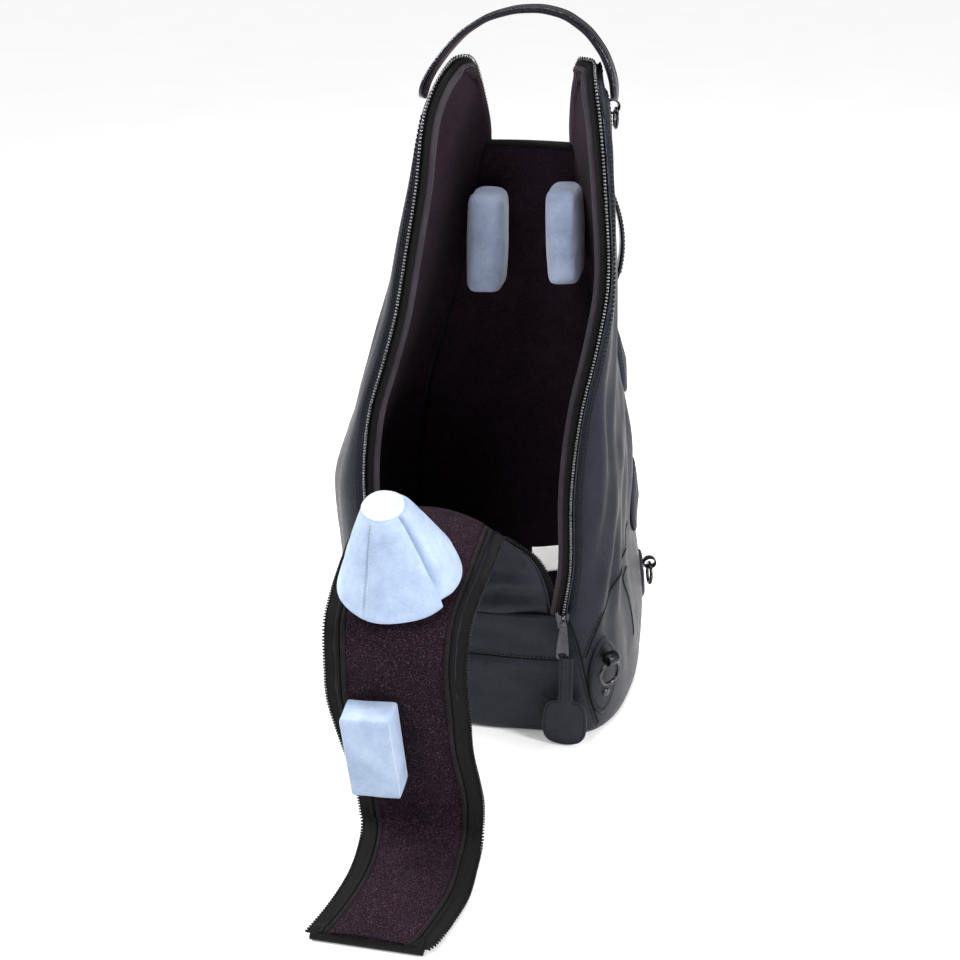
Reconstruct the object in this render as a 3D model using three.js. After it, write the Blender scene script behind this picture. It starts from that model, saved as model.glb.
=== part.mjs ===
// Soft case (gig bag) for an alto saxophone: a padded leather body standing on its base, with its long
// front flap unzipped and folded down to the floor. Millimetres, +Z up, front towards -Y, floor at z = 0.
import * as THREE from "three";

// ---------------------------------------------------------------- driving dimensions (mm)
const OUTER_THICKNESS = 8; // leather over foam
const LINING_THICKNESS = 3;
const GAP = 0.5; // between touching pieces
const SEAM_GAP = 1.2; // between neighbouring panels of the shell
const BUCKET_TOP = 95; // seam between the base and the panels above it
const FLAP_ROOT = 150; // height where the zips begin
const BACK_TOP = 598; // top edge of the back panel
const BASE_FLOOR = 10; // thickness of the stiff floor of the base

const FLAP_THICKNESS = 11;
const FLAP_ROOT_Y = -93;
const FLAP_REACH = 433; // how far forward the flap's free end lies
const FLAP_LEAN = 185; // degrees from upright, of the stretch that hangs
const FLAP_HEEL = 17; // height of the last fold above the floor stretch

const CONE = { base: 56, top: 20, height: 78 };
const BLOCK = { width: 45, length: 70, depth: 30 };
const FASTENER_THICKNESS = 1.4; // hook-and-loop pads under the cone and the block
const FACE_BOW = 5; // how far the front and back faces swell out
const HANDLE = { centreX: 8, pivotY: -8, pivotZ: 664, halfSpan: 93, rise: 67, width: 26, thickness: 4 };
const RING_WIRE = 1.7;

// ---------------------------------------------------------------- outlines of the shell
// Edges of the side panels seen from the side, as [y, z] from the bucket seam to the top of the arch.
const FRONT_PROFILE = [
  [-98, 95], [-95, 200], [-91, 300], [-86, 400], [-76, 500], [-60, 600], [-46, 650], [-28, 682], [0, 698],
];
const BACK_PROFILE = [
  [97, 95], [95, 200], [91, 300], [86, 400], [78, 500], [67, 598], [58, 640], [38, 680], [0, 698],
];
// Widths by height, as [z, x]: the zip edge, the widest point of the side, and the seam with the back.
const SIDES = {
  right: {
    zip: [[0, 80], [95, 78], [150, 79], [205, 85], [290, 83], [369, 89], [440, 100], [500, 105],
      [572, 98], [640, 88], [680, 78], [700, 73]],
    side: [[0, 146], [95, 146], [164, 139], [214, 131], [300, 127], [372, 116], [451, 105],
      [596, 91], [650, 89], [690, 80], [700, 77]],
    back: [[0, 105], [95, 104], [300, 92], [450, 76], [598, 60], [690, 66], [700, 70]],
  },
  left: {
    zip: [[0, -128], [95, -128], [200, -129], [290, -132], [358, -123], [410, -106], [459, -92],
      [520, -82], [580, -71], [640, -67], [670, -58], [688, -46], [700, -42]],
    side: [[0, -161], [95, -163], [164, -166], [265, -169], [304, -159], [358, -138], [454, -108],
      [540, -90], [618, -78], [660, -72], [690, -56], [700, -50]],
    back: [[0, -122], [95, -120], [300, -106], [450, -68], [598, -34], [660, -38], [700, -44]],
  },
};

// ---------------------------------------------------------------- materials
const paint = (color, roughness, metalness = 0) =>
  new THREE.MeshStandardMaterial({ color, roughness, metalness, side: THREE.DoubleSide });
const leather = () => paint(0x2c2c33, 0.5);
const velour = () => paint(0x2d1c26, 0.95);
const tape = () => paint(0x111113, 0.8);
const plush = () => paint(0xbed0ec, 0.9);
const satin = () => paint(0x8fa0b8, 0.6);
const gunmetal = () => paint(0x3a3b40, 0.3, 0.9);

const bag = new THREE.Group();

function add(name, geometry, material, parent = bag) {
  const mesh = new THREE.Mesh(geometry, material);
  mesh.name = name;
  parent.add(mesh);
  return mesh;
}

// ---------------------------------------------------------------- curves and closed solids
// Smooth value at height z from a table of [z, value].
function valueAt(table, z) {
  const last = table.length - 1;
  if (z <= table[0][0]) return table[0][1];
  if (z >= table[last][0]) return table[last][1];
  const k = table.findIndex((row) => row[0] > z) - 1;
  const slope = (i) => {
    const a = table[Math.max(i - 1, 0)];
    const b = table[Math.min(i + 1, last)];
    return (b[1] - a[1]) / (b[0] - a[0]);
  };
  const [z0, v0] = table[k];
  const [z1, v1] = table[k + 1];
  const span = z1 - z0;
  const t = (z - z0) / span;
  const t2 = t * t;
  const t3 = t2 * t;
  return (
    (2 * t3 - 3 * t2 + 1) * v0 +
    (t3 - 2 * t2 + t) * span * slope(k) +
    (3 * t2 - 2 * t3) * v1 +
    (t3 - t2) * span * slope(k + 1)
  );
}

const profileCurve = (points) => new THREE.SplineCurve(points.map(([y, z]) => new THREE.Vector2(y, z)));
const frontCurve = profileCurve(FRONT_PROFILE);
const backCurve = profileCurve(BACK_PROFILE);

// Outward value of y on the front or back face at height z.
const frontY = (z) => valueAt(FRONT_PROFILE.map(([y, height]) => [height, y]), z);
const backY = (z) => valueAt(BACK_PROFILE.map(([y, height]) => [height, y]), z);

const lerp = (a, b, t) => a + (b - a) * t;

// One point of the side wall: u = 0 at the zip edge, 1 at the seam with the back.
function sidePoint(side, front, back, u) {
  const angle = Math.PI * u;
  const along = (1 - Math.sign(Math.cos(angle)) * Math.abs(Math.cos(angle)) ** 0.8) / 2;
  const height = lerp(front.y, back.y, along);
  const zipX = valueAt(side.zip, front.y);
  const backX = valueAt(side.back, back.y);
  const middle = (front.y + back.y) / 2;
  const chord = (valueAt(side.zip, middle) + valueAt(side.back, middle)) / 2;
  const bulge = (valueAt(side.side, middle) - chord) * Math.sin(angle) ** 0.7;
  return new THREE.Vector3(lerp(zipX, backX, along) + bulge, lerp(front.x, back.x, along), height);
}

// Closed geometry from a list of vertices and triangles, turned to face outwards.
function closedGeometry(vertices, faces) {
  let volume = 0;
  for (const [a, b, c] of faces) {
    volume += vertices[a].dot(new THREE.Vector3().crossVectors(vertices[b], vertices[c]));
  }
  const turned = volume < 0 ? faces.map(([a, b, c]) => [a, c, b]) : faces;
  const geometry = new THREE.BufferGeometry();
  geometry.setAttribute("position", new THREE.Float32BufferAttribute(vertices.flatMap((v) => v.toArray()), 3));
  geometry.setIndex(turned.flat());
  geometry.computeVertexNormals();
  return geometry;
}

// Normals of a grid of points, by differences between neighbours. Where the wall wraps round to the
// front and the back, its two border columns run straight across.
function gridNormals(grid, wraps) {
  return grid.map((row, i) =>
    row.map((_, j) => {
      const before = grid[Math.max(i - 1, 0)][j];
      const after = grid[Math.min(i + 1, grid.length - 1)][j];
      const left = row[Math.max(j - 1, 0)];
      const right = row[Math.min(j + 1, row.length - 1)];
      const across = right.clone().sub(left);
      if (wraps && (j === 0 || j === row.length - 1)) across.set(Math.sign(across.x), 0, 0);
      return new THREE.Vector3().crossVectors(across, after.clone().sub(before)).normalize();
    }),
  );
}

// A padded sheet: the grid moved inwards by `near`, and again by `far`, joined round its border.
function thickSheet(grid, near, far, inward, wraps = false) {
  const normals = gridNormals(grid, wraps);
  const rows = grid.length;
  const columns = grid[0].length;
  const layer = (depth) =>
    grid.flatMap((row, i) => row.map((p, j) => p.clone().addScaledVector(normals[i][j], inward * depth)));
  const vertices = [...layer(near), ...layer(far)];
  const faces = [];
  const at = (i, j, inner) => inner * rows * columns + i * columns + j;
  const quad = (a, b, c, d) => faces.push([a, b, c], [a, c, d]);
  for (let i = 0; i + 1 < rows; i += 1) {
    for (let j = 0; j + 1 < columns; j += 1) {
      quad(at(i, j, 0), at(i, j + 1, 0), at(i + 1, j + 1, 0), at(i + 1, j, 0));
      quad(at(i, j, 1), at(i + 1, j, 1), at(i + 1, j + 1, 1), at(i, j + 1, 1));
    }
    quad(at(i, 0, 0), at(i + 1, 0, 0), at(i + 1, 0, 1), at(i, 0, 1));
    const end = columns - 1;
    quad(at(i, end, 0), at(i, end, 1), at(i + 1, end, 1), at(i + 1, end, 0));
  }
  for (let j = 0; j + 1 < columns; j += 1) {
    quad(at(0, j, 0), at(0, j, 1), at(0, j + 1, 1), at(0, j + 1, 0));
    quad(at(rows - 1, j, 0), at(rows - 1, j + 1, 0), at(rows - 1, j + 1, 1), at(rows - 1, j, 1));
  }
  return closedGeometry(vertices, faces);
}

// A solid through rings of equal length, closed by a flat fan at each end.
function ringLoft(rings) {
  const count = rings[0].length;
  const vertices = rings.flat();
  const faces = [];
  for (let i = 0; i + 1 < rings.length; i += 1) {
    for (let j = 0; j < count; j += 1) {
      const next = (j + 1) % count;
      const a = i * count + j;
      const b = i * count + next;
      faces.push([a, b, b + count], [a, b + count, a + count]);
    }
  }
  for (const [ring, flip] of [[0, true], [rings.length - 1, false]]) {
    const centre = new THREE.Vector3();
    rings[ring].forEach((p) => centre.addScaledVector(p, 1 / count));
    const hub = vertices.push(centre) - 1;
    for (let j = 0; j < count; j += 1) {
      const a = ring * count + j;
      const b = ring * count + ((j + 1) % count);
      faces.push(flip ? [hub, b, a] : [hub, a, b]);
    }
  }
  return closedGeometry(vertices, faces);
}

// A soft block: a box whose corners and faces are drawn in like a stuffed pad.
function softBlock(width, depth, height, roundness) {
  const geometry = new THREE.BoxGeometry(1, 1, 1, 5, 5, 5);
  const position = geometry.getAttribute("position");
  const point = new THREE.Vector3();
  for (let i = 0; i < position.count; i += 1) {
    point.fromBufferAttribute(position, i).multiplyScalar(2);
    const { x, y, z } = point;
    const ball = new THREE.Vector3(
      x * Math.sqrt(1 - (y * y) / 2 - (z * z) / 2 + (y * y * z * z) / 3),
      y * Math.sqrt(1 - (z * z) / 2 - (x * x) / 2 + (z * z * x * x) / 3),
      z * Math.sqrt(1 - (x * x) / 2 - (y * y) / 2 + (x * x * y * y) / 3),
    );
    point.lerp(ball, roundness);
    position.setXYZ(i, (point.x * width) / 2, (point.y * depth) / 2, (point.z * height) / 2);
  }
  geometry.computeVertexNormals();
  return geometry;
}

// ---------------------------------------------------------------- base
// Closed outline of the body at height z, set in by `inset`.
function outline(z, inset) {
  const points = [];
  const front = new THREE.Vector2(frontY(z), z);
  const back = new THREE.Vector2(backY(z), z);
  const STEPS = 9;
  const FACE_STEPS = 5;
  const run = (from, to, y, bow) => {
    for (let k = 1; k < FACE_STEPS; k += 1) {
      const t = k / FACE_STEPS;
      points.push(new THREE.Vector3(lerp(from, to, t), y + bow * Math.sin(Math.PI * t), z));
    }
  };
  for (let k = 0; k <= STEPS; k += 1) points.push(sidePoint(SIDES.right, front, back, k / STEPS));
  run(valueAt(SIDES.right.back, z), valueAt(SIDES.left.back, z), backY(z), FACE_BOW);
  for (let k = STEPS; k >= 0; k -= 1) points.push(sidePoint(SIDES.left, front, back, k / STEPS));
  run(valueAt(SIDES.left.zip, z), valueAt(SIDES.right.zip, z), frontY(z), -FACE_BOW);
  return points.map((p, i) => {
    const before = points[(i + points.length - 1) % points.length];
    const after = points[(i + 1) % points.length];
    const tangent = after.clone().sub(before).normalize();
    return p.clone().add(new THREE.Vector3(-tangent.y, tangent.x, 0).multiplyScalar(inset));
  });
}

const lift = (ring, z) => ring.map((p) => new THREE.Vector3(p.x, p.y, z));

const bucketRings = [
  lift(outline(0, 12), 0),
  lift(outline(0, 5), 2),
  lift(outline(0, 1), 9),
  outline(40, 0),
  outline(BUCKET_TOP - SEAM_GAP, 0),
  outline(BUCKET_TOP - SEAM_GAP, OUTER_THICKNESS),
  outline(40, OUTER_THICKNESS),
  lift(outline(0, OUTER_THICKNESS + 4), BASE_FLOOR),
];
add("base_bucket", ringLoft(bucketRings), leather());

const CUSHION_INSET = OUTER_THICKNESS + 5;
const cushionRings = [
  lift(outline(40, CUSHION_INSET + 6), BASE_FLOOR + GAP),
  lift(outline(40, CUSHION_INSET), BASE_FLOOR + 8),
  lift(outline(40, CUSHION_INSET), BASE_FLOOR + 20),
  lift(outline(40, CUSHION_INSET + 8), BASE_FLOOR + 26),
];
add("bottom_cushion", ringLoft(cushionRings), velour());

// ---------------------------------------------------------------- side panels and their zips
const PANEL_ROWS = 18;
const PANEL_COLUMNS = 9;
const ARCH_END = 0.985; // the last row stops just short of the point where front and back meet

function sideGrid(side) {
  return Array.from({ length: PANEL_ROWS + 1 }, (_, i) => {
    const s = (ARCH_END * i) / PANEL_ROWS;
    const front = frontCurve.getPointAt(s);
    const back = backCurve.getPointAt(s);
    const place = (_column, j) => sidePoint(side, front, back, j / PANEL_COLUMNS);
    return Array.from({ length: PANEL_COLUMNS + 1 }, place);
  });
}

// A strip along one edge of a panel: `out` beyond the edge, `down` below the outer face.
function edgeStrip(grid, inward, firstRow, out, down) {
  const normals = gridNormals(grid, true);
  const rings = grid.slice(firstRow).map((row, k) => {
    const beyond = row[0].clone().sub(row[1]).normalize();
    const normal = normals[k + firstRow][0].clone().multiplyScalar(inward);
    const corner = (o, d) => row[0].clone().addScaledVector(beyond, o).addScaledVector(normal, d);
    return [corner(out[0], down[0]), corner(out[1], down[0]), corner(out[1], down[1]), corner(out[0], down[1])];
  });
  return ringLoft(rings);
}

const ZIP_TAPE = { out: [GAP, 7.5], down: [1.5, 3.1] };
const ZIP_FIRST_ROW = 2;

for (const [name, side] of Object.entries(SIDES)) {
  const grid = sideGrid(side);
  const inward = name === "right" ? -1 : 1;
  add(`${name}_side_panel`, thickSheet(grid, 0, OUTER_THICKNESS, inward, true), leather());
  const liningDepth = OUTER_THICKNESS + GAP;
  const lining = thickSheet(grid, liningDepth, liningDepth + LINING_THICKNESS, inward, true);
  add(`${name}_side_lining`, lining, velour());
  add(`${name}_zip_tape`, edgeStrip(grid, inward, ZIP_FIRST_ROW, ZIP_TAPE.out, ZIP_TAPE.down), tape());
}

// ---------------------------------------------------------------- back panel and lower front panel
function faceGrid(edge, faceY, low, high, rows, bow) {
  return Array.from({ length: rows + 1 }, (_, i) => {
    const z = lerp(low, high, i / rows);
    const left = valueAt(SIDES.left[edge], z) + 2 * SEAM_GAP;
    const right = valueAt(SIDES.right[edge], z) - 2 * SEAM_GAP;
    return Array.from({ length: 7 }, (__, j) => {
      const t = j / 6;
      return new THREE.Vector3(lerp(left, right, t), faceY(z) + bow * Math.sin(Math.PI * t), z);
    });
  });
}

const backGrid = faceGrid("back", backY, BUCKET_TOP, BACK_TOP, 10, FACE_BOW);
add("back_panel", thickSheet(backGrid, 0, OUTER_THICKNESS, 1), leather());
const backLining = thickSheet(backGrid, OUTER_THICKNESS + GAP, OUTER_THICKNESS + LINING_THICKNESS, 1);
add("back_lining", backLining, velour());

const frontGrid = faceGrid("zip", frontY, BUCKET_TOP, FLAP_ROOT - 3, 3, -FACE_BOW);
add("front_lower_panel", thickSheet(frontGrid, 0, OUTER_THICKNESS + LINING_THICKNESS, -1), leather());

// ---------------------------------------------------------------- padding inside the body
const leftPad = add("left_suspension_pad", softBlock(42, 56, 112, 0.35), satin());
leftPad.position.set(-49, 20, 506);
leftPad.rotation.y = 0.14;
const rightPad = add("right_suspension_pad", softBlock(34, 56, 104, 0.35), satin());
rightPad.position.set(52, 20, 520);
rightPad.rotation.y = -0.05;

const label = add("care_label", new THREE.BoxGeometry(38, 0.8, 24), paint(0xf2f2f0, 0.7));
label.position.set(56, -46, 188);
label.rotation.set(-0.5, 0, 0.2);

// ---------------------------------------------------------------- front flap
// Lengths of the flap's stretches between folds, and the direction of each, in degrees from upright
// towards the front, as the flap lies open.
const FLAP = [
  { length: 100, lean: 2 },
  { length: 45, lean: 52 },
  { length: 140, lean: 104.5 },
  { length: 36, lean: 142 },
  { length: 0, lean: FLAP_LEAN },
  { length: 25, lean: 133 },
  { length: 0, lean: 90 },
  { length: 0, lean: 90 },
  { length: 0, lean: 90 },
];
const FLAP_CENTRE_X = [-27, -46, -47, -48, -50, -28, -26, -32, -38, -44];
const FLAP_WIDTHS = [180, 140, 138, 136, 134, 116, 110, 102, 98, 90];
const radians = THREE.MathUtils.degToRad;
const half = FLAP_THICKNESS / 2;
const ROOT_CLEARANCE = 3;

// Fold lines from the root to the free end: the hanging stretch ends just above the floor, and the last
// three stretches share the run to the free end.
function foldCentres() {
  const centres = [new THREE.Vector3(FLAP_CENTRE_X[0], FLAP_ROOT_Y, FLAP_ROOT)];
  FLAP.forEach(({ length, lean }, i) => {
    const from = centres[i];
    const angle = radians(lean);
    let reach = length;
    if (i === 4) reach = (from.z - half - FLAP_HEEL) / -Math.cos(angle);
    if (i > 5) reach = (FLAP_REACH + centres[6].y) / 3;
    const to = new THREE.Vector3(FLAP_CENTRE_X[i + 1], 0, 0);
    to.y = from.y - reach * Math.sin(angle);
    to.z = i >= 5 ? half : from.z + reach * Math.cos(angle);
    centres.push(to);
  });
  return centres;
}

const folds = foldCentres();
const FOLD_CLEARANCE = 1;

// One padded stretch: flat where it starts beyond its own fold, round at the next fold.
function flapStretch(i) {
  const from = folds[i];
  const to = folds[i + 1];
  const along = to.clone().sub(from).setX(0).normalize();
  const up = new THREE.Vector3(0, -along.z, along.y).negate();
  const ring = [];
  const place = (origin, forward, rise, width, sign) =>
    origin
      .clone()
      .addScaledVector(along, forward)
      .addScaledVector(up, rise)
      .add(new THREE.Vector3((sign * width) / 2, 0, 0));
  const start = half + (i === 0 ? ROOT_CLEARANCE : FOLD_CLEARANCE);
  const last = i === FLAP.length - 1;
  const END_STEPS = 6;
  for (const sign of [-1, 1]) {
    const edge = [];
    edge.push(place(from, start, half, FLAP_WIDTHS[i], sign));
    edge.push(place(from, start, -half, FLAP_WIDTHS[i], sign));
    for (let k = 0; k <= END_STEPS; k += 1) {
      const turn = (Math.PI * k) / END_STEPS - Math.PI / 2;
      const forward = last ? 0 : half * Math.cos(turn);
      edge.push(place(to, forward, half * Math.sin(turn), FLAP_WIDTHS[i + 1], sign));
    }
    ring.push(last ? [...edge.slice(0, 3), edge[edge.length - 1]] : edge);
  }
  const geometry = ringLoft(ring);
  geometry.translate(-from.x, -from.y, -from.z);
  return { geometry, along, up };
}

const stretches = FLAP.map((_, i) => {
  const { geometry, along, up } = flapStretch(i);
  const mesh = add(`flap_section_${i + 1}`, geometry, leather());
  mesh.position.copy(folds[i]);
  return { along, up };
});

// A group standing on the lining side of a stretch, `forward` mm from its fold and `x` across.
function onFlap(i, forward, x) {
  const { along, up } = stretches[i];
  const across = new THREE.Vector3().crossVectors(along, up);
  const stand = new THREE.Group();
  stand.quaternion.setFromRotationMatrix(new THREE.Matrix4().makeBasis(across, along, up));
  stand.position.copy(folds[i]).setX(x).addScaledVector(along, forward).addScaledVector(up, half + GAP);
  bag.add(stand);
  return stand;
}

// ---------------------------------------------------------------- bell cone and key block
const coneProfile = [
  [0, 0], [CONE.base - 2, 0], [CONE.base, 3], [CONE.top + 3, CONE.height - 6], [CONE.top, CONE.height],
  [0, CONE.height + 2],
].map(([r, z]) => new THREE.Vector2(r, z));
const coneStand = onFlap(2, 106, -61);
const cone = add("bell_cone", new THREE.LatheGeometry(coneProfile, 24), plush(), coneStand);
cone.rotation.x = Math.PI / 2;
cone.position.z = FASTENER_THICKNESS + GAP;

const blockStand = onFlap(4, 108, -69);
const block = add("key_block", softBlock(BLOCK.width, BLOCK.length, BLOCK.depth, 0.12), plush(), blockStand);
block.position.z = BLOCK.depth / 2 + FASTENER_THICKNESS + GAP;

const fastener = (width, length) => new THREE.BoxGeometry(width, length, FASTENER_THICKNESS);
add("cone_fastener", fastener(50, 50), tape(), coneStand).position.set(0, 0, FASTENER_THICKNESS / 2);
add("block_fastener", fastener(30, 50), tape(), blockStand).position.set(0, 0, FASTENER_THICKNESS / 2);

// ---------------------------------------------------------------- top handle
// A flat strap bent over the opening, with round ends on its pivots.
function archStrap({ centreX, halfSpan, rise, width, thickness }, pivotZ) {
  const ARCH_STEPS = 18;
  const rings = [];
  const ring = (x, z, nx, nz, reach) => {
    const at = (y, t) => new THREE.Vector3(x + nx * t, y, z + nz * t);
    const t = thickness / 2;
    return [at(-reach, t), at(reach, t), at(reach, -t), at(-reach, -t)];
  };
  for (let k = 0; k <= ARCH_STEPS; k += 1) {
    const angle = Math.PI * (1 - k / ARCH_STEPS);
    const x = centreX + halfSpan * Math.cos(angle);
    const z = pivotZ + rise * Math.sin(angle) ** 0.9;
    const nx = Math.cos(angle) / halfSpan;
    const nz = Math.sin(angle) / rise;
    const length = Math.hypot(nx, nz);
    rings.push(ring(x, z, nx / length, nz / length, width / 2));
  }
  for (const [side, target] of [[-1, "unshift"], [1, "push"]]) {
    for (const drop of [0.5, 0.8, 0.97]) {
      const x = centreX + side * halfSpan;
      const reach = (width / 2) * Math.sqrt(1 - drop * drop);
      rings[target](ring(x, pivotZ - drop * (width / 2), side, 0, reach));
    }
  }
  return ringLoft(rings);
}

const handle = add("top_handle", archStrap(HANDLE, 0), leather());
handle.position.set(0, HANDLE.pivotY, HANDLE.pivotZ);

// Point and outward direction on the outer face of a side at height z, u along the wall.
function faceAt(sideName, u, z) {
  const side = SIDES[sideName];
  const front = new THREE.Vector2(frontY(z), z);
  const back = new THREE.Vector2(backY(z), z);
  const point = sidePoint(side, front, back, u);
  const tangent = sidePoint(side, front, back, u + 0.02).sub(sidePoint(side, front, back, u - 0.02)).normalize();
  const out = new THREE.Vector3(tangent.y, -tangent.x, 0).multiplyScalar(sideName === "right" ? 1 : -1);
  return { point, out, tangent };
}

// A leather patch sewn on the outer face, following its curve.
const PATCH = { lift: 1, thickness: 3 };

function sewnPatch(sideName, u, z, width, height) {
  const perU = faceAt(sideName, u + 0.02, z).point.distanceTo(faceAt(sideName, u - 0.02, z).point) / 0.04;
  const grid = Array.from({ length: 5 }, (_, i) =>
    Array.from({ length: 5 }, (__, j) => {
      const across = (j / 4 - 0.5) * (width / perU);
      return faceAt(sideName, u + across, z + (i / 4 - 0.5) * height).point;
    }),
  );
  const outward = sideName === "right" ? 1 : -1;
  return thickSheet(grid, PATCH.lift, PATCH.lift + PATCH.thickness, outward);
}

// A group on the outer face: +X along the wall, +Y up, +Z straight out.
function onFace(sideName, u, z) {
  const { point, out } = faceAt(sideName, u, z);
  const up = new THREE.Vector3(0, 0, 1);
  const across = new THREE.Vector3().crossVectors(up, out);
  const stand = new THREE.Group();
  stand.quaternion.setFromRotationMatrix(new THREE.Matrix4().makeBasis(across, up, out));
  stand.position.copy(point);
  bag.add(stand);
  return stand;
}

for (const name of ["left", "right"]) {
  add(`handle_anchor_${name}`, sewnPatch(name, 0.42, HANDLE.pivotZ - 8, 26, 44), leather());
}

// ---------------------------------------------------------------- rings and their leather tabs
const LOOP = { radius: 6, tube: 1.2, widen: 3.5 };

// A patch on the body, a loop of leather standing on it, and a ring hanging through the loop.
function hangingRing(name, sideName, u, z, patchSize, loopHeight, radius) {
  add(`${name}_patch`, sewnPatch(sideName, u, z, patchSize[0], patchSize[1]), leather());
  const stand = onFace(sideName, u, loopHeight);
  const standOff = PATCH.lift + PATCH.thickness + GAP + LOOP.radius + LOOP.tube + 0.6;
  const loop = add(`${name}_loop`, new THREE.TorusGeometry(LOOP.radius, LOOP.tube, 6, 14), leather(), stand);
  loop.scale.z = LOOP.widen;
  loop.rotation.y = Math.PI / 2;
  loop.position.z = standOff;
  const reach = LOOP.tube * LOOP.widen;
  const sag = radius - Math.sqrt(radius ** 2 - reach ** 2);
  const drop = LOOP.radius - LOOP.tube - RING_WIRE - GAP - sag;
  const ring = add(`${name}_ring`, new THREE.TorusGeometry(radius, RING_WIRE, 6, 18), gunmetal(), stand);
  ring.position.set(0, -drop - radius, standOff);
}

hangingRing("side", "right", 0.2, 68, [32, 92], 100, 15);
hangingRing("rear_right", "right", 0.72, 118, [30, 56], 132, 12);
hangingRing("rear_left", "left", 0.72, 118, [30, 56], 132, 12);
hangingRing("upper", "right", 0.55, 634, [18, 40], 644, 9);

// ---------------------------------------------------------------- side grab handle
const GRAB = { low: 468, high: 572, u: 0.6, standOff: 6, bow: 12, width: 20, thickness: 4, endWidth: 8 };

function grabStrap() {
  const STEPS = 14;
  const low = faceAt("right", GRAB.u, GRAB.low);
  const high = faceAt("right", GRAB.u, GRAB.high);
  const out = low.out;
  const across = new THREE.Vector3(-out.y, out.x, 0);
  const start = low.point.clone().addScaledVector(out, GRAB.standOff);
  const end = high.point.clone().addScaledVector(out, GRAB.standOff);
  const rings = Array.from({ length: STEPS + 1 }, (_, k) => {
    const t = k / STEPS;
    const swell = Math.sin(Math.PI * t);
    const centre = start.clone().lerp(end, t).addScaledVector(out, GRAB.bow * swell ** 0.8);
    const reach = lerp(GRAB.endWidth, GRAB.width, Math.min(1, 2.5 * swell)) / 2;
    const corner = (side, depth) =>
      centre
        .clone()
        .addScaledVector(across, side * reach)
        .addScaledVector(out, (depth * GRAB.thickness) / 2)
        .sub(start);
    return [corner(-1, -1), corner(1, -1), corner(1, 1), corner(-1, 1)];
  });
  return { geometry: ringLoft(rings), start };
}

const grab = grabStrap();
add("side_handle", grab.geometry, leather()).position.copy(grab.start);
add("side_handle_upper_anchor", sewnPatch("right", GRAB.u, GRAB.high + 20, 22, 34), leather());
add("side_handle_lower_anchor", sewnPatch("right", GRAB.u, GRAB.low - 20, 22, 34), leather());
add("upper_strap_keeper", sewnPatch("right", GRAB.u, 388, 24, 70), leather());
add("lower_strap_keeper", sewnPatch("right", GRAB.u, 232, 24, 84), leather());

// ---------------------------------------------------------------- zip sliders, pulls and leather tags
const SLIDER = { width: 14, height: 19, thickness: 6, y: -104.5 };
const PULL = { width: 7, length: 36, thickness: 2, y: -110.5, top: 8 };
const TAG = { strapWidth: 10, strapLength: 56, width: 38, height: 50, thickness: 2.6 };

function sliderShape() {
  const { width, height } = SLIDER;
  const shape = new THREE.Shape();
  shape.moveTo(-width / 2, height / 2 - 4);
  shape.lineTo(-width / 2 + 2, -height / 2);
  shape.lineTo(width / 2 - 2, -height / 2);
  shape.lineTo(width / 2, height / 2 - 4);
  shape.quadraticCurveTo(width / 2 - 1, height / 2, 0, height / 2);
  shape.quadraticCurveTo(-width / 2 + 1, height / 2, -width / 2, height / 2 - 4);
  return shape;
}

// Metal pull: a bar that widens to an eye at its lower end.
function pullShape() {
  const { width, length } = PULL;
  const shape = new THREE.Shape();
  shape.moveTo(-width / 2 + 1, 0);
  shape.lineTo(width / 2 - 1, 0);
  shape.lineTo(width / 2, -length + 6);
  shape.quadraticCurveTo(width / 2, -length, 0, -length);
  shape.quadraticCurveTo(-width / 2, -length, -width / 2, -length + 6);
  return shape;
}

// Leather tag: a narrow strap that ends in an oval paddle.
function tagShape() {
  const { strapWidth, strapLength, width, height } = TAG;
  const shape = new THREE.Shape();
  const neck = Math.asin(strapWidth / width);
  shape.moveTo(-strapWidth / 2, 0);
  shape.lineTo(strapWidth / 2, 0);
  const centre = -strapLength - height / 2;
  shape.absellipse(0, centre, width / 2, height / 2, Math.PI / 2 - neck, neck - 1.5 * Math.PI, true);
  return shape;
}

const flat = (shape, thickness) => {
  const geometry = new THREE.ExtrudeGeometry(shape, { depth: thickness, bevelEnabled: false, curveSegments: 8 });
  geometry.translate(0, 0, -thickness / 2);
  return geometry;
};

for (const [name, x, pullShift, tagShift] of [["left", -132, 0, -4], ["right", 77, 1, 4]]) {
  const stand = new THREE.Group();
  stand.position.set(x, SLIDER.y, FLAP_ROOT);
  stand.rotation.x = Math.PI / 2;
  bag.add(stand);
  add(`${name}_zip_slider`, flat(sliderShape(), SLIDER.thickness), gunmetal(), stand);
  const pull = add(`${name}_zip_pull`, flat(pullShape(), PULL.thickness), gunmetal(), stand);
  pull.position.set(pullShift, -SLIDER.height / 2 + PULL.top, SLIDER.y - PULL.y);
  const tag = add(`${name}_zip_tag`, flat(tagShape(), TAG.thickness), leather(), stand);
  tag.position.set(tagShift, pull.position.y - PULL.length + 1, SLIDER.y - PULL.y + PULL.thickness + GAP);
}

export default bag;
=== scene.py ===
"""Looks of an open leather soft case for a saxophone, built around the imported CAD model.

Lengths in this script are millimetres until a mesh is made, in the CAD's frame: +Z up, the open front
towards -Y, the floor at z = 0.
"""

import math
import random

import bmesh
import bpy
import numpy as np
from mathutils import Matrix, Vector, noise


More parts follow.
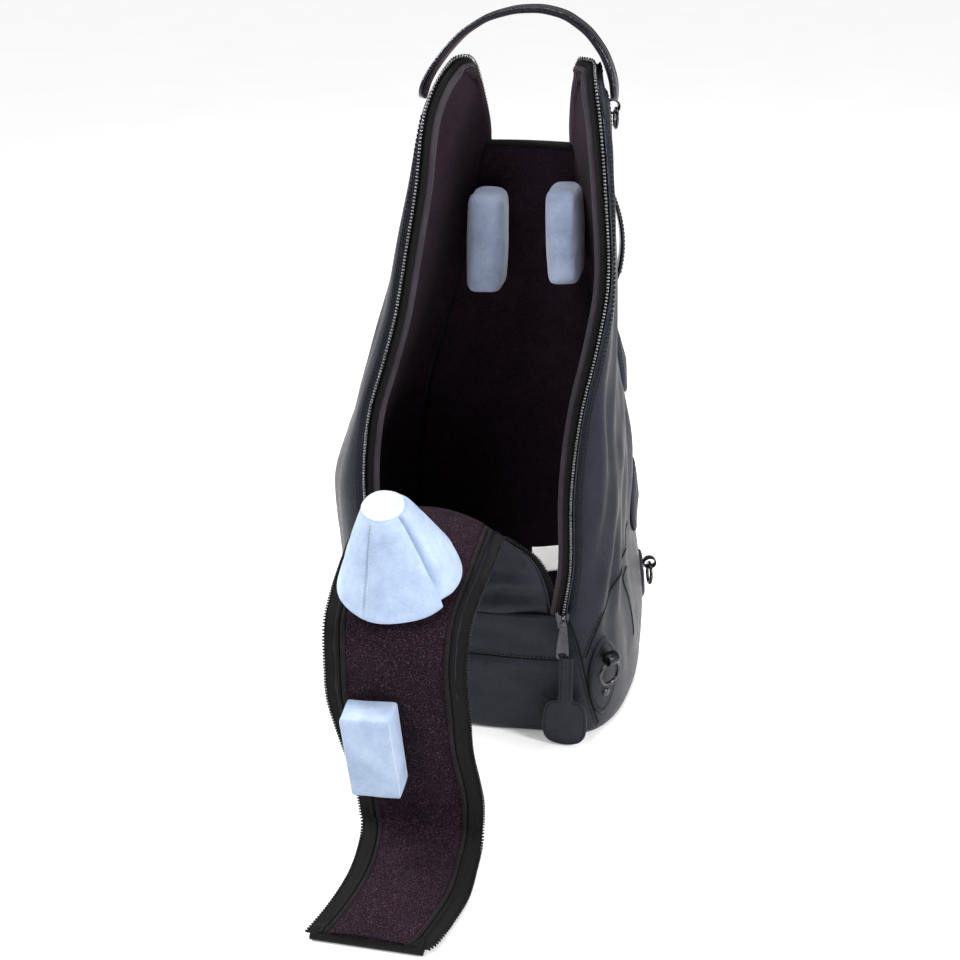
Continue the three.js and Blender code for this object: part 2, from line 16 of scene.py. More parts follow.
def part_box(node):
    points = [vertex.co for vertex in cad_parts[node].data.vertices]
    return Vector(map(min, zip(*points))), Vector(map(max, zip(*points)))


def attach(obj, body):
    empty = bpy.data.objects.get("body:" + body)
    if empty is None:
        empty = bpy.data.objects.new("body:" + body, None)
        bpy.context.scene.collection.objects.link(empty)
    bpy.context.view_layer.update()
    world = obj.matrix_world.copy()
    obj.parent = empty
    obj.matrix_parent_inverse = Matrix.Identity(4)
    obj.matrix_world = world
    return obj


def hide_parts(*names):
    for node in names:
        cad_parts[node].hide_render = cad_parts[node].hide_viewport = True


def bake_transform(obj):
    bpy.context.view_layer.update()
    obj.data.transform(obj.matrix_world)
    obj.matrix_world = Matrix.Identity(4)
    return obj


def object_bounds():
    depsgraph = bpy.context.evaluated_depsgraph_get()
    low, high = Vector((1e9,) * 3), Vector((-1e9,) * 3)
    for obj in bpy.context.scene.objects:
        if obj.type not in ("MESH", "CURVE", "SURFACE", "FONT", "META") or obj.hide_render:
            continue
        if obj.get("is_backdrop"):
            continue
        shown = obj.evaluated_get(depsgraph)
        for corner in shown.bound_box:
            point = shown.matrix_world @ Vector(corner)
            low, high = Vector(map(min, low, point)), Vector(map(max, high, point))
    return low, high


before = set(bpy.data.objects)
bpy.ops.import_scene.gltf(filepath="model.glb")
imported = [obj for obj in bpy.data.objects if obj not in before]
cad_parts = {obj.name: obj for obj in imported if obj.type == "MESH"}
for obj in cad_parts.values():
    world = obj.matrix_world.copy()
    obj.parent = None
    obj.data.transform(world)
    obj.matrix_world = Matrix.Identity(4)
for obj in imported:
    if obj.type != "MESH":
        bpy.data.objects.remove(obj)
cad_low, cad_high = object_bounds()
random.seed(7)
MM = 0.001
scene = bpy.context.scene

# ------------------------------------------------------------------ camera and lights
camera = bpy.data.objects.new("camera", bpy.data.cameras.new("camera"))
camera.location = (0.2132, -1.2485, 0.844)
camera.rotation_euler = (math.radians(65), 0, math.radians(11))
camera.data.sensor_width = 36
camera.data.lens = 48.75
scene.collection.objects.link(camera)
scene.camera = camera

LIGHTS = [  # name, place (m), size (m), power (W)
    ("fill", (1.9, -0.9, 1.3), 0.5, 46),
    ("rim", (-1.5, 0.3, 1.5), 0.5, 38),
    ("top", (0.35, 0.1, 2.3), 0.6, 18),
]
for name, place, size, power in LIGHTS:
    data = bpy.data.lights.new(name, "AREA")
    data.energy = power
    data.size = size
    lamp = bpy.data.objects.new(name, data)
    lamp.location = place
    lamp.rotation_euler = (Vector((0, -0.05, 0.3)) - lamp.location).to_track_quat("-Z", "Y").to_euler()
    scene.collection.objects.link(lamp)

SUN_FROM, SUN_STRENGTH, SUN_SPREAD = Vector((-0.55, -0.75, 1.25)), 2.0, 30
data = bpy.data.lights.new("window", "SUN")
data.energy = SUN_STRENGTH
data.angle = math.radians(SUN_SPREAD)
lamp = bpy.data.objects.new("window", data)
lamp.rotation_euler = (-SUN_FROM).to_track_quat("-Z", "Y").to_euler()
scene.collection.objects.link(lamp)

world = bpy.data.worlds.new("studio")
world.use_nodes = True
world.node_tree.nodes["Background"].inputs["Color"].default_value = (1, 1, 1, 1)
world.node_tree.nodes["Background"].inputs["Strength"].default_value = 0.30
scene.world = world
scene.view_settings.view_transform = "Standard"


# ------------------------------------------------------------------ materials
class Shader:
    """A procedural material: short helpers around one Principled shader."""

    def __init__(self, name, roughness=0.5, metallic=0.0, **sockets):
        self.material = bpy.data.materials.new(name)
        self.material.use_nodes = True
        self.tree = self.material.node_tree
        self.bsdf = self.tree.nodes["Principled BSDF"]
        self.bsdf.inputs["Roughness"].default_value = roughness
        self.bsdf.inputs["Metallic"].default_value = metallic
        for socket, value in sockets.items():
            self.bsdf.inputs[socket.replace("_", " ")].default_value = value
        self.place = self.tree.nodes.new("ShaderNodeTexCoord")

    def link(self, source, target):
        self.tree.links.new(source, target)

    def mapping(self, scale, output="Object"):
        node = self.tree.nodes.new("ShaderNodeMapping")
        node.inputs["Scale"].default_value = scale
        self.link(self.place.outputs[output], node.inputs["Vector"])
        return node.outputs["Vector"]

    def noise(self, scale, detail=3, roughness=0.5, stretch=(1, 1, 1), output="Object"):
        node = self.tree.nodes.new("ShaderNodeTexNoise")
        node.inputs["Scale"].default_value = scale
        node.inputs["Detail"].default_value = detail
        node.inputs["Roughness"].default_value = roughness
        self.link(self.mapping(stretch, output), node.inputs["Vector"])
        return node.outputs["Fac"]

    def cells(self, scale):
        node = self.tree.nodes.new("ShaderNodeTexVoronoi")
        node.feature = "DISTANCE_TO_EDGE"
        node.inputs["Scale"].default_value = scale
        self.link(self.mapping((1, 1, 1)), node.inputs["Vector"])
        return node.outputs["Distance"]

    def waves(self, scale, direction, distortion=0.0, output="UV"):
        node = self.tree.nodes.new("ShaderNodeTexWave")
        node.bands_direction = direction
        node.inputs["Scale"].default_value = scale
        node.inputs["Distortion"].default_value = distortion
        self.link(self.mapping((1, 1, 1), output), node.inputs["Vector"])
        return node.outputs["Fac"]

    def ramp(self, value, stops):
        node = self.tree.nodes.new("ShaderNodeValToRGB")
        elements = node.color_ramp.elements
        while len(elements) < len(stops):
            elements.new(0.5)
        for element, (position, color) in zip(elements, stops):
            element.position = position
            element.color = (*color, 1) if len(color) == 3 else color
        self.link(value, node.inputs["Fac"])
        return node.outputs["Color"]

    def mix(self, a, b, factor=0.5, blend="MIX"):
        node = self.tree.nodes.new("ShaderNodeMix")
        node.data_type = "RGBA"
        node.blend_type = blend
        node.inputs[0].default_value = factor
        self.link(a, node.inputs[6])
        self.link(b, node.inputs[7])
        return node.outputs[2]

    def math(self, operation, a, b):
        node = self.tree.nodes.new("ShaderNodeMath")
        node.operation = operation
        for socket, value in zip(node.inputs, (a, b)):
            if isinstance(value, float):
                socket.default_value = value
            else:
                self.link(value, socket)
        return node.outputs["Value"]

    def spread(self, value, low, high):
        node = self.tree.nodes.new("ShaderNodeMapRange")
        node.inputs["To Min"].default_value = low
        node.inputs["To Max"].default_value = high
        self.link(value, node.inputs["Value"])
        return node.outputs["Result"]

    def color(self, value):
        self.link(value, self.bsdf.inputs["Base Color"])

    def roughness(self, value):
        self.link(value, self.bsdf.inputs["Roughness"])

    def bump(self, height, distance, strength=1.0, after=None):
        node = self.tree.nodes.new("ShaderNodeBump")
        node.inputs["Distance"].default_value = distance
        node.inputs["Strength"].default_value = strength
        self.link(height, node.inputs["Height"])
        if after is not None:
            self.link(after, node.inputs["Normal"])
        self.link(node.outputs["Normal"], self.bsdf.inputs["Normal"])
        return node.outputs["Normal"]


def leather(name, dark, light, rough=(0.36, 0.56), grain=0.00035, sheen=0.03, gloss=0.24):
    s = Shader(name, Specular_IOR_Level=gloss, Sheen_Weight=sheen)
    s.bsdf.inputs["Specular Tint"].default_value = (0.78, 0.84, 1.0, 1)
    mottle = s.ramp(s.noise(22, 5, 0.6), [(0.3, dark), (0.7, light)])
    fine = s.ramp(s.cells(900), [(0.0, (0.55, 0.55, 0.58)), (0.16, (1, 1, 1))])
    s.color(s.mix(mottle, fine, 1.0, "MULTIPLY"))
    s.roughness(s.spread(s.noise(60, 4, 0.6), *rough))
    creases = s.bump(s.noise(14, 4, 0.55, (1, 1, 0.55)), 0.0022, 0.55)
    pores = s.bump(s.noise(260, 3, 0.6), grain * 1.3, 0.6, creases)
    s.bump(s.spread(s.cells(760), 0.0, 2.2), grain, 0.7, pores)
    return s.material


def velour(name, dark, light, fleck, sheen=0.45, nap=0.0006):
    s = Shader(name, roughness=0.95, Specular_IOR_Level=0.12, Sheen_Weight=sheen, Sheen_Roughness=0.45)
    s.bsdf.inputs["Sheen Tint"].default_value = (*[min(1, 6 * c + 0.25) for c in light], 1)
    base = s.ramp(s.noise(26, 6, 0.68), [(0.32, dark), (0.68, light)])
    specks = s.ramp(s.noise(980, 2, 0.7), [(0.54, (0, 0, 0)), (0.76, fleck)])
    s.color(s.mix(base, specks, 1.0, "ADD"))
    soft = s.bump(s.noise(46, 4, 0.6), 0.0016, 0.4)
    s.bump(s.noise(900, 3, 0.75), nap, 0.8, soft)
    return s.material


def woven(name, dark, light, scale, glow=0.0):
    # glow makes the cloth give off light in its light colour: a painted glow, used only on the label.
    s = Shader(name, roughness=0.8, Specular_IOR_Level=0.14, Sheen_Weight=0.03, Emission_Strength=glow)
    s.bsdf.inputs["Emission Color"].default_value = (*light, 1)
    weave = s.math("MULTIPLY", s.waves(scale, "X", 0.4), s.waves(scale, "Y", 0.4))
    s.color(s.mix(s.ramp(weave, [(0.1, dark), (0.8, light)]),
                  s.ramp(s.noise(900, 2), [(0.35, (0.5, 0.5, 0.5)),
            (0.7, (1.6, 1.5, 1.45))]), 1.0, "MULTIPLY"))
    s.bump(weave, 0.0004, 0.9)
    return s.material


def metal(name, color, rough=(0.16, 0.34)):
    s = Shader(name, metallic=1.0)
    s.color(s.ramp(s.noise(90, 4), [(0.3, color), (0.7, tuple(c * 1.7 for c in color))]))
    s.roughness(s.spread(s.noise(420, 3), *rough))
    s.bump(s.noise(1300, 2), 0.00004, 0.5)
    return s.material


LEATHER = leather("black_leather", (0.0065, 0.0065, 0.0105), (0.0150, 0.0150, 0.0225), (0.27, 0.44),
                  0.00035, 0.0)
GLOSS = leather("polished_leather", (0.0028, 0.0028, 0.0036), (0.0065, 0.0065, 0.0085), (0.15, 0.28),
                0.0002, 0.0, 0.34)
NAP = velour("handle_underside", (0.030, 0.017, 0.024), (0.055, 0.034, 0.045), (0.03, 0.02, 0.03), 0.2,
             0.0003)
LINING = velour("aubergine_velour", (0.0080, 0.0038, 0.0068), (0.0170, 0.0080, 0.0142),
                (0.045, 0.022, 0.040), 0.14)
# The flap's lining is the same aubergine velour as the inside lining, in a darker copy: painted shade.
FLAP_LINING_PAINTED_SHADE = velour("flap_velour", (0.0040, 0.0017, 0.0034), (0.0098, 0.0040, 0.0080),
                     (0.110, 0.060, 0.098), 0.03, 0.0008)
# The wall rolls are the lining velour in a lighter copy: a painted highlight along the rolled edge. The
# flap's rolls use flap_roll, a darker copy without it.
ROLL_PAINTED_HIGHLIGHT = velour("velour_roll_painted_highlight", (0.024, 0.020, 0.026), (0.042, 0.035, 0.044), (0.03, 0.025, 0.03), 0.25)
FLAP_ROLL = velour("flap_roll", (0.006, 0.005, 0.006), (0.014, 0.011, 0.013), (0.02, 0.016, 0.02), 0.1)
BAND = woven("binding", (0.0022, 0.0022, 0.0025), (0.0085, 0.0082, 0.0085), 240)
TAPE = woven("zip_tape", (0.0022, 0.0022, 0.0024), (0.011, 0.0105, 0.010), 330)
TEETH = metal("zip_teeth", (0.150, 0.150, 0.158), (0.20, 0.34))
# The flap's teeth are a darker copy of the same zip teeth metal: painted shade.
FLAP_TEETH_PAINTED_SHADE = metal("flap_zip_teeth", (0.014, 0.014, 0.015), (0.34, 0.5))
GUNMETAL = metal("black_nickel", (0.050, 0.050, 0.057))
THREAD = woven("thread", (0.004, 0.004, 0.005), (0.014, 0.014, 0.018), 900)
PLUSH = velour("powder_plush", (0.27, 0.35, 0.50), (0.42, 0.52, 0.68), (0.10, 0.09, 0.07), 0.15)
PALE_PLUSH = velour("pale_plush", (0.43, 0.51, 0.58), (0.52, 0.59, 0.66), (0.05, 0.05, 0.04), 0.1)
SATIN = velour("grey_plush", (0.22, 0.27, 0.40), (0.40, 0.47, 0.64), (0.12, 0.12, 0.12), 0.6)
# The label cloth glows at strength 0.3 in its pale colour: a painted glow that makes it brighter than its
# lighting.
LABEL_PAINTED_GLOW = woven("label_cloth_painted_glow", (0.86, 0.86, 0.87), (0.97, 0.97, 0.97), 700, 0.3)


# ------------------------------------------------------------------ mesh building
def make(name, points, faces, material, body=None, slot=None, replaces=(), uv=None, smooth=True,
         normals=None):
    """A mesh object from points in millimetres, riding on a CAD body."""
    mesh = bpy.data.meshes.new(name)
    mesh.from_pydata((np.asarray(points, float).reshape(-1, 3) * MM).tolist(), [], [list(f) for f in faces])
    mesh.validate()
    mesh.shade_smooth() if smooth else mesh.shade_flat()
    mesh.materials.append(material)
    if uv is not None:
        layer = mesh.uv_layers.new(name="UVMap")
        loops = np.empty(len(mesh.loops), np.int32)
        mesh.loops.foreach_get("vertex_index", loops)
        layer.data.foreach_set("uv", (np.asarray(uv, float)[loops] * MM).ravel())
    if normals is not None:
        mesh.normals_split_custom_set_from_vertices(normals.tolist())
    piece = bpy.data.objects.new(name, mesh)
    scene.collection.objects.link(piece)
    if body:
        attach(piece, body)
    if replaces:
        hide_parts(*replaces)
    return piece


def grid_faces(rows, columns, around=False):
    faces = []
    for i in range(rows - 1):
        for j in range(columns if around else columns - 1):
            a, b = i * columns + j, i * columns + (j + 1) % columns
            faces.append((a, b, b + columns, a + columns))
    return faces


def grid_uv(grid):
    """Lengths along the rows and the columns of a grid, for weaves that run with the cloth."""
    g = np.asarray(grid)
    across = np.concatenate([np.zeros((len(g), 1)),
                             np.cumsum(np.linalg.norm(np.diff(g, axis=1), axis=2), 1)], 1)
    along = np.concatenate([np.zeros((1, g.shape[1])),
                            np.cumsum(np.linalg.norm(np.diff(g, axis=0), axis=2), 0)], 0)
    return np.stack([across, along], 2).reshape(-1, 2)


def flip_if(faces, turned):
    return [tuple(reversed(f)) for f in faces] if turned else faces


def outward(points, faces):
    """Faces turned so that a closed shape faces out."""
    p = np.asarray(points, float).reshape(-1, 3)
    fans = np.array([(f[0], f[k], f[k + 1]) for f in faces for k in range(1, len(f) - 1)])
    a, b, c = p[fans[:, 0]], p[fans[:, 1]], p[fans[:, 2]]
    volume = np.einsum("ij,ij->", a, np.cross(b, c))
    return flip_if(faces, volume < 0)


def closed_loft(rings):
    """Points and faces of a solid through rings of equal length."""
    rings = np.asarray(rings, float)
    count, size = rings.shape[:2]
    faces = grid_faces(count, size, True)
    faces += [tuple(reversed(range(size))), tuple((count - 1) * size + j for j in range(size))]
    points = rings.reshape(-1, 3)
    return points, outward(points, faces)


def thick_grid(front, back):
    """Points and faces of a sheet between two grids of the same size."""
    front, back = np.asarray(front, float), np.asarray(back, float)
    rows, columns = front.shape[:2]
    border = [j for j in range(columns)] + [i * columns + columns - 1 for i in range(1, rows)]
    border += [(rows - 1) * columns + j for j in range(columns - 2, -1, -1)]
    border += [i * columns for i in range(rows - 2, 0, -1)]
    count = rows * columns
    faces = grid_faces(rows, columns)
    faces += [tuple(v + count for v in reversed(f)) for f in grid_faces(rows, columns)]
    for a, b in zip(border, border[1:] + border[:1]):
        faces.append((b, a, a + count, b + count))
    points = np.concatenate([front.reshape(-1, 3), back.reshape(-1, 3)])
    return points, outward(points, faces)


def sheet_piece(name, front, back, material, slot, replaces=(), weave=True):
    """A sheet between two grids, riding on the bag, with lengths for a weave that runs with it."""
    points, faces = thick_grid(front, back)
    uv = np.concatenate([grid_uv(front)] * 2) if weave else None
    return make(name, points, faces, material, "bag", slot, replaces, uv)


def ring_faces(rows, columns):
    """Faces of a grid that closes on itself both ways."""
    return [tuple(v % (rows * columns) for v in face) for face in grid_faces(rows + 1, columns, True)]


def unit(v):
    v = np.asarray(v, float)
    return v / np.maximum(np.linalg.norm(v, axis=-1, keepdims=True), 1e-9)


def tangents(path):
    return unit(np.gradient(np.asarray(path, float), axis=0))


def resample(path, step):
    path = np.asarray(path, float)
    length = np.concatenate([[0], np.cumsum(np.linalg.norm(np.diff(path, axis=0), axis=1))])
    stations = np.linspace(0, length[-1], max(2, int(round(length[-1] / step)) + 1))
    return np.stack([np.interp(stations, length, path[:, k]) for k in range(3)], 1)


def smooth_path(path, rounds):
    path = np.array(path, float)
    for _ in range(rounds):
        path[1:-1] = (path[:-2] + 2 * path[1:-1] + path[2:]) / 4
    return path


def circle(radius, count, centre=(0, 0), squeeze=1.0):
    turn = np.arange(count) * 2 * math.pi / count
    return np.stack([centre[0] + radius * np.cos(turn), centre[1] + radius * squeeze * np.sin(turn)], 1)


def swept(path, first, second, profile):
    """Rings: the profile's two coordinates run along the directions first and second."""
    profile = np.asarray(profile, float)
    return (
        path[:, None, :]
        + profile[None, :, 0, None] * first[:, None, :]
        + profile[None, :, 1, None] * second[:, None, :]
    )


def wobble(x, y, z, scale, seed=0.0):
    """Smooth noise from -1 to 1 at a point in millimetres."""
    return noise.noise(Vector((x / scale + seed, y / scale - seed, z / scale + 2 * seed)))


def displaced(grid, normals, amount):
    """The grid moved along its normals by amount(point)."""
    flat = grid.reshape(-1, 3)
    shift = np.array([amount(*p) for p in flat]).reshape(grid.shape[:2])
    return grid + normals * shift[..., None]


def grid_normals(grid, toward):
    """Unit normals of a grid, turned to point as toward(point) does."""
    du, dv = np.gradient(grid, axis=1), np.gradient(grid, axis=0)
    n = unit(np.cross(du, dv))
    sign = np.sign(np.einsum("ijk,ijk->ij", n, toward))
    return n * np.where(sign == 0, 1, sign)[..., None]


class Solids:
    """Many small closed shapes gathered in one mesh."""

    def __init__(self):
        self.points, self.faces = [], []

    def add(self, points, faces):
        start = len(self.points)
        self.points.extend(np.asarray(points, float).reshape(-1, 3).tolist())
        self.faces.extend([tuple(v + start for v in f) for f in faces])

    def box(self, centre, axes, half, taper=0.75):
        """A block with drawn-in ends: half sizes along three axes, the ends of the first one smaller."""
        rings = []
        for along, size in ((-1, taper), (-0.6, 1), (0.6, 1), (1, taper)):
            ring = [
                centre
                + axes[0] * half[0] * along
                + axes[1] * half[1] * size * a
                + axes[2] * half[2] * size * b
                for a, b in ((-1, -0.5), (-0.5, -1), (0.5, -1), (1, -0.5),
                             (1, 0.5), (0.5, 1), (-0.5, 1), (-1, 0.5))
            ]
            rings.append(ring)
        self.add(*closed_loft(rings))

    def make(self, name, material, body, slot):
        return make(name, self.points, self.faces, material, body, slot)


def stitch_line(solids, path, out, pitch=4.4, length=3.0, radius=0.42, lift=0.15):
    """Thread stitches along a path, each one a short bead that dips at its ends."""
    path = np.asarray(path, float)
    line = resample(path, pitch)
    outs = np.stack([np.interp(np.linspace(0, 1, len(line)), np.linspace(0, 1, len(out)),
                               np.asarray(out)[:, k])
                     for k in range(3)], 1)
    along = tangents(line)
    for p, t, n in zip(line, along, unit(outs)):
        side = unit(np.cross(t, n))
        solids.box(p + n * lift, (t, side, n), (length / 2, radius, radius), 0.5)


# ------------------------------------------------------------------ the case's outline
# Close to the CAD's solids, except that the arches end up to 15 mm lower.
FRONT_PROFILE = [(-98, 95), (-95, 200), (-91, 300), (-86, 400), (-76, 500), (-60, 600), (-47, 642),
                 (-29, 670), (0, 684)]
BACK_PROFILE = [(97, 95), (95, 200), (91, 300), (86, 400), (78, 500), (67, 598), (57, 637), (37, 668),
                (0, 684)]
SIDES = {
    "right": {
        "zip": [(0, 80), (95, 78), (150, 79), (205, 85), (290, 83), (369, 89), (440, 102), (500, 109),
                (572, 103),
                (640, 93), (680, 82), (700, 77)],
        "side": [(0, 146), (95, 146), (164, 139), (214, 131), (300, 127), (372, 116), (451, 105), (596, 90),
                 (650, 87), (690, 80), (700, 77)],
        "back": [(0, 105), (95, 104), (300, 92), (450, 76), (598, 55), (650, 57), (690, 66), (700, 70)],
    },
    "left": {
        "zip": [(0, -128), (95, -128), (200, -129), (290, -132), (358, -125), (410, -110), (459, -97),
                (520, -87),
                (580, -78), (640, -73), (668, -64), (684, -53), (700, -46)],
        "side": [(0, -161), (95, -163), (164, -166), (265, -169), (304, -159), (358, -138), (454, -107),
                 (540, -86),
                 (618, -69), (660, -62), (690, -52), (700, -46)],
        "back": [(0, -122), (95, -120), (300, -106), (450, -68), (598, -36), (660, -41), (700, -46)],
    },
}
BUCKET_TOP = 95
FLAP_ROOT = 150
BACK_TOP = 598
WALL = 11.5  # leather, foam and lining


def value_at(table, z):
    """Smooth value at height z from a table of (z, value)."""
    table = np.asarray(table, float)
    keys, values = table[:, 0], table[:, 1]
    z = np.clip(np.asarray(z, float), keys[0], keys[-1])
    before, after = (
        np.maximum(np.arange(len(keys)) - 1, 0),
        np.minimum(np.arange(len(keys)) + 1, len(keys) - 1),
    )
    slopes = (values[after] - values[before]) / (keys[after] - keys[before])
    k = np.clip(np.searchsorted(keys, z, "right") - 1, 0, len(keys) - 2)
    span = keys[k + 1] - keys[k]
    t = (z - keys[k]) / span
    return (
        (2 * t**3 - 3 * t**2 + 1) * values[k]
        + (t**3 - 2 * t**2 + t) * span * slopes[k]
        + (3 * t**2 - 2 * t**3) * values[k + 1]
        + (t**3 - t**2) * span * slopes[k + 1]
    )


def front_y(z):
    return value_at([(b, a) for a, b in FRONT_PROFILE], z)


def back_y(z):
    return value_at([(b, a) for a, b in BACK_PROFILE], z)


def profile_points(profile, shares):
    """Points at shares of the length of the smooth curve through a profile."""
    p = np.asarray(profile, float)
    dense = []
    for i in range(len(p) - 1):
        p0, p3 = p[max(i - 1, 0)], p[min(i + 2, len(p) - 1)]
        for t in np.linspace(0, 1, 24, endpoint=False):
            v0, v1 = (p[i + 1] - p0) / 2, (p3 - p[i]) / 2
            dense.append(
                (2 * p[i] - 2 * p[i + 1] + v0 + v1) * t**3
                + (-3 * p[i] + 3 * p[i + 1] - 2 * v0 - v1) * t**2
                + v0 * t
                + p[i]
            )
    dense = np.array(dense + [p[-1]])
    length = np.concatenate([[0], np.cumsum(np.linalg.norm(np.diff(dense, axis=0), axis=1))])
    stations = np.asarray(shares) * length[-1]
    return np.stack([np.interp(stations, length, dense[:, k]) for k in range(2)], 1)


def side_points(side, front, back, u):
    """Points of the side wall: front and back are (y, z) pairs, u = 0 at the zip and 1 at the back seam."""
    table = SIDES[side]
    u = np.asarray(u, float)
    angle = np.pi * u
    along = (1 - np.sign(np.cos(angle)) * np.abs(np.cos(angle)) ** 0.8) / 2
    height = front[..., 1] + (back[..., 1] - front[..., 1]) * along
    y = front[..., 0] + (back[..., 0] - front[..., 0]) * along
    zip_x, back_x = value_at(table["zip"], front[..., 1]), value_at(table["back"], back[..., 1])
    middle = (front[..., 1] + back[..., 1]) / 2
    chord = (value_at(table["zip"], middle) + value_at(table["back"], middle)) / 2
    bulge = (value_at(table["side"], middle) - chord) * np.sin(angle) ** 0.7
    return np.stack([zip_x + (back_x - zip_x) * along + bulge, y, height], -1)


def wall_point(side, u, z):
    """Point, outward direction and direction along the wall, on the outer face at height z."""
    pair = lambda y: np.array([float(y(z)), float(z)])
    at = lambda v: side_points(side, pair(front_y), pair(back_y), np.float64(v))
    tangent = unit(at(min(u + 0.02, 1.0)) - at(max(u - 0.02, 0.0)))
    out = np.array([tangent[1], -tangent[0], 0]) * (1 if side == "right" else -1)
    return at(u), unit(out), tangent


SIGN = {"right": 1, "left": -1}
ARCH_ROWS = 84
COLUMNS = 76
SOLE_ROUNDING = [(0, 12), (0.6, 8.5), (2, 5), (5, 2.3), (9, 1), (16, 0.3), (24, 0)]  # height, inset


def side_grid(side):
    """Outer face of one side from the floor to the top of its arch, and its outward normals."""
    u = np.linspace(0, 1, COLUMNS + 1)
    rows, insets = [], []
    for z, inset in SOLE_ROUNDING + [(z, 0) for z in np.linspace(34, 89, 7)]:
        pair_front, pair_back = np.array([-98.0, z]), np.array([97.0, z])
        rows.append(side_points(side, pair_front, pair_back, u))
        insets.append(inset)
    shares = np.concatenate([np.linspace(0, 0.86, ARCH_ROWS - 24), np.linspace(0.87, 0.997, 24)])
    for front, back in zip(profile_points(FRONT_PROFILE, shares), profile_points(BACK_PROFILE, shares)):
        rows.append(side_points(side, front, back, u))
        insets.append(0)
    grid = np.array(rows)
    normals = grid_normals(grid, grid * [1, 1, 0])
    normals[:, 0] = unit(normals[:, 1] + [0, -0.6, 0])
    normals[:, -1] = unit(normals[:, -2] + [0, 0.6, 0])
    level = normals * [1, 1, 0]
    return grid - unit(level) * np.array(insets)[:, None, None], normals, shares


OUTER = {side: side_grid(side) for side in SIDES}


FOLD_LINES = [  # (side, y and z of the fold's foot, y and z of its top, half width, depth)
    ("right", (-84, 128), (-62, 300), 9, 3.4), ("right", (-62, 150), (-30, 330), 10, 3.0),
    ("right", (-88, 230), (-74, 420), 7, 2.4), ("right", (-30, 190), (-4, 380), 11, 2.6),
    ("right", (6, 200), (22, 400), 12, 2.2), ("right", (-52, 330), (-44, 520), 8, 2.0),
    ("left", (-70, 150), (-52, 330), 12, 2.8), ("left", (-30, 170), (-16, 380), 13, 2.4),
    ("left", (-60, 340), (-46, 540), 9, 2.2), ("left", (20, 160), (26, 400), 14, 2.4),
]


def leather_swell(side):
    """Soft folds of the leather over its foam, in mm outwards."""
    lean = 0.16 if side == "right" else 0.05
    folds = [fold[1:] for fold in FOLD_LINES if fold[0] == side]

    def amount(x, y, z):
        run = y + lean * (z - 300)
        height = (
            wobble(run * 3.1, 7, z * 0.32, 62, 3.7) * 1.8
            + wobble(run * 5.2, 3, z * 0.6, 60, 8.1) * 0.9
        )
        for (foot_y, foot_z), (top_y, top_z), half, depth in folds:
            t = (z - foot_z) / (top_z - foot_z)
            if -0.1 < t < 1.1:
                away = (y - foot_y - (top_y - foot_y) * t - 5 * math.sin(t * 5 + foot_y)) / half
                height += (
                    1.8 * depth * (math.exp(-(away**2)) - 0.55 * math.exp(-((away - 1.7) ** 2)))
                    * max(0.0, math.sin(math.pi * (t + 0.1) / 1.2)) ** 0.7
                )
        fade = min(1.0, max(0.0, (z - 20) / 60)) * min(1.0, max(0.0, (680 - z) / 60))
        edge = min(1.0, (y + 98) / 16) if z > 95 else min(1.0, (y + 98) / 8)
        return height * fade * max(0.0, min(1.0, edge, (97 - y) / 10)) - 0.2

    return amount


# ------------------------------------------------------------------ body: outer leather
def face_grid(edge, y_of, rows, bow, columns=30):
    """The front or back face between the two sides, over a list of (height, inset)."""
    t = np.linspace(0, 1, columns + 1)
    grid = []
    for z, inset in rows:
        left, right = value_at(SIDES["left"][edge], z), value_at(SIDES["right"][edge], z)
        x = left + (right - left) * t
        y = y_of(z) + bow * np.sin(np.pi * t) - math.copysign(inset, bow)
        grid.append(np.stack([x, y, np.full_like(t, z)], 1))
    return np.array(grid)


def face_swell(x, y, z):
    return wobble(x, z * 2.6, 0, 46, 5.1) * 1.3 + wobble(x, z, 0, 90, 2.2) * 1.2


for side in SIDES:
    grid, normals, _ = OUTER[side]
    soft = displaced(grid, normals, leather_swell(side))
    inner = soft - normals * 5.0
    fit = [f"{side}_side_panel"] + (["base_bucket"] if side == "right" else [])
    sheet_piece(f"{side}_outer_leather", soft, inner, LEATHER, "leather", fit)

FLUSH = 2.2  # how far the front panel swells out to meet the leather of the flap
SEAM_PROFILE = [(-1.5, -1.6), (-1.1, 0.25), (0, 0.75), (1.1, 0.25), (1.5, -1.6)]  # across the seam, out
front_rows = SOLE_ROUNDING + [(z, 0) for z in np.linspace(32, FLAP_ROOT - 1, 34)]
back_rows = SOLE_ROUNDING + [(z, 0) for z in np.linspace(32, BACK_TOP, 72)]
for name, edge, y_of, rows, bow, node in (
    ("front_lower_leather", "zip", front_y, front_rows, -5, "front_lower_panel"),
    ("back_leather", "back", back_y, back_rows, 5, "back_panel"),
):
    grid = face_grid(edge, y_of, rows, bow)
    toward = np.zeros_like(grid) + [0, math.copysign(1, bow), 0]
    normals = grid_normals(grid, toward)
    fade = np.sin(np.pi * np.linspace(0, 1, grid.shape[1])) ** 0.4
    swell = np.array([face_swell(*p) for p in grid.reshape(-1, 3)]).reshape(grid.shape[:2])
    groove = np.exp(-(((grid[..., 2] - BUCKET_TOP) / 2.4) ** 2)) * 2.0
    if edge == "zip":  # swells out to meet the leather of the flap
        swell = swell + FLUSH * np.clip((grid[..., 2] - BUCKET_TOP - 8) / 45, 0, 1)
    soft = grid + normals * (swell * fade - groove)[..., None]
    sheet_piece(name, soft, soft - normals * 6, LEATHER, "leather", [node])

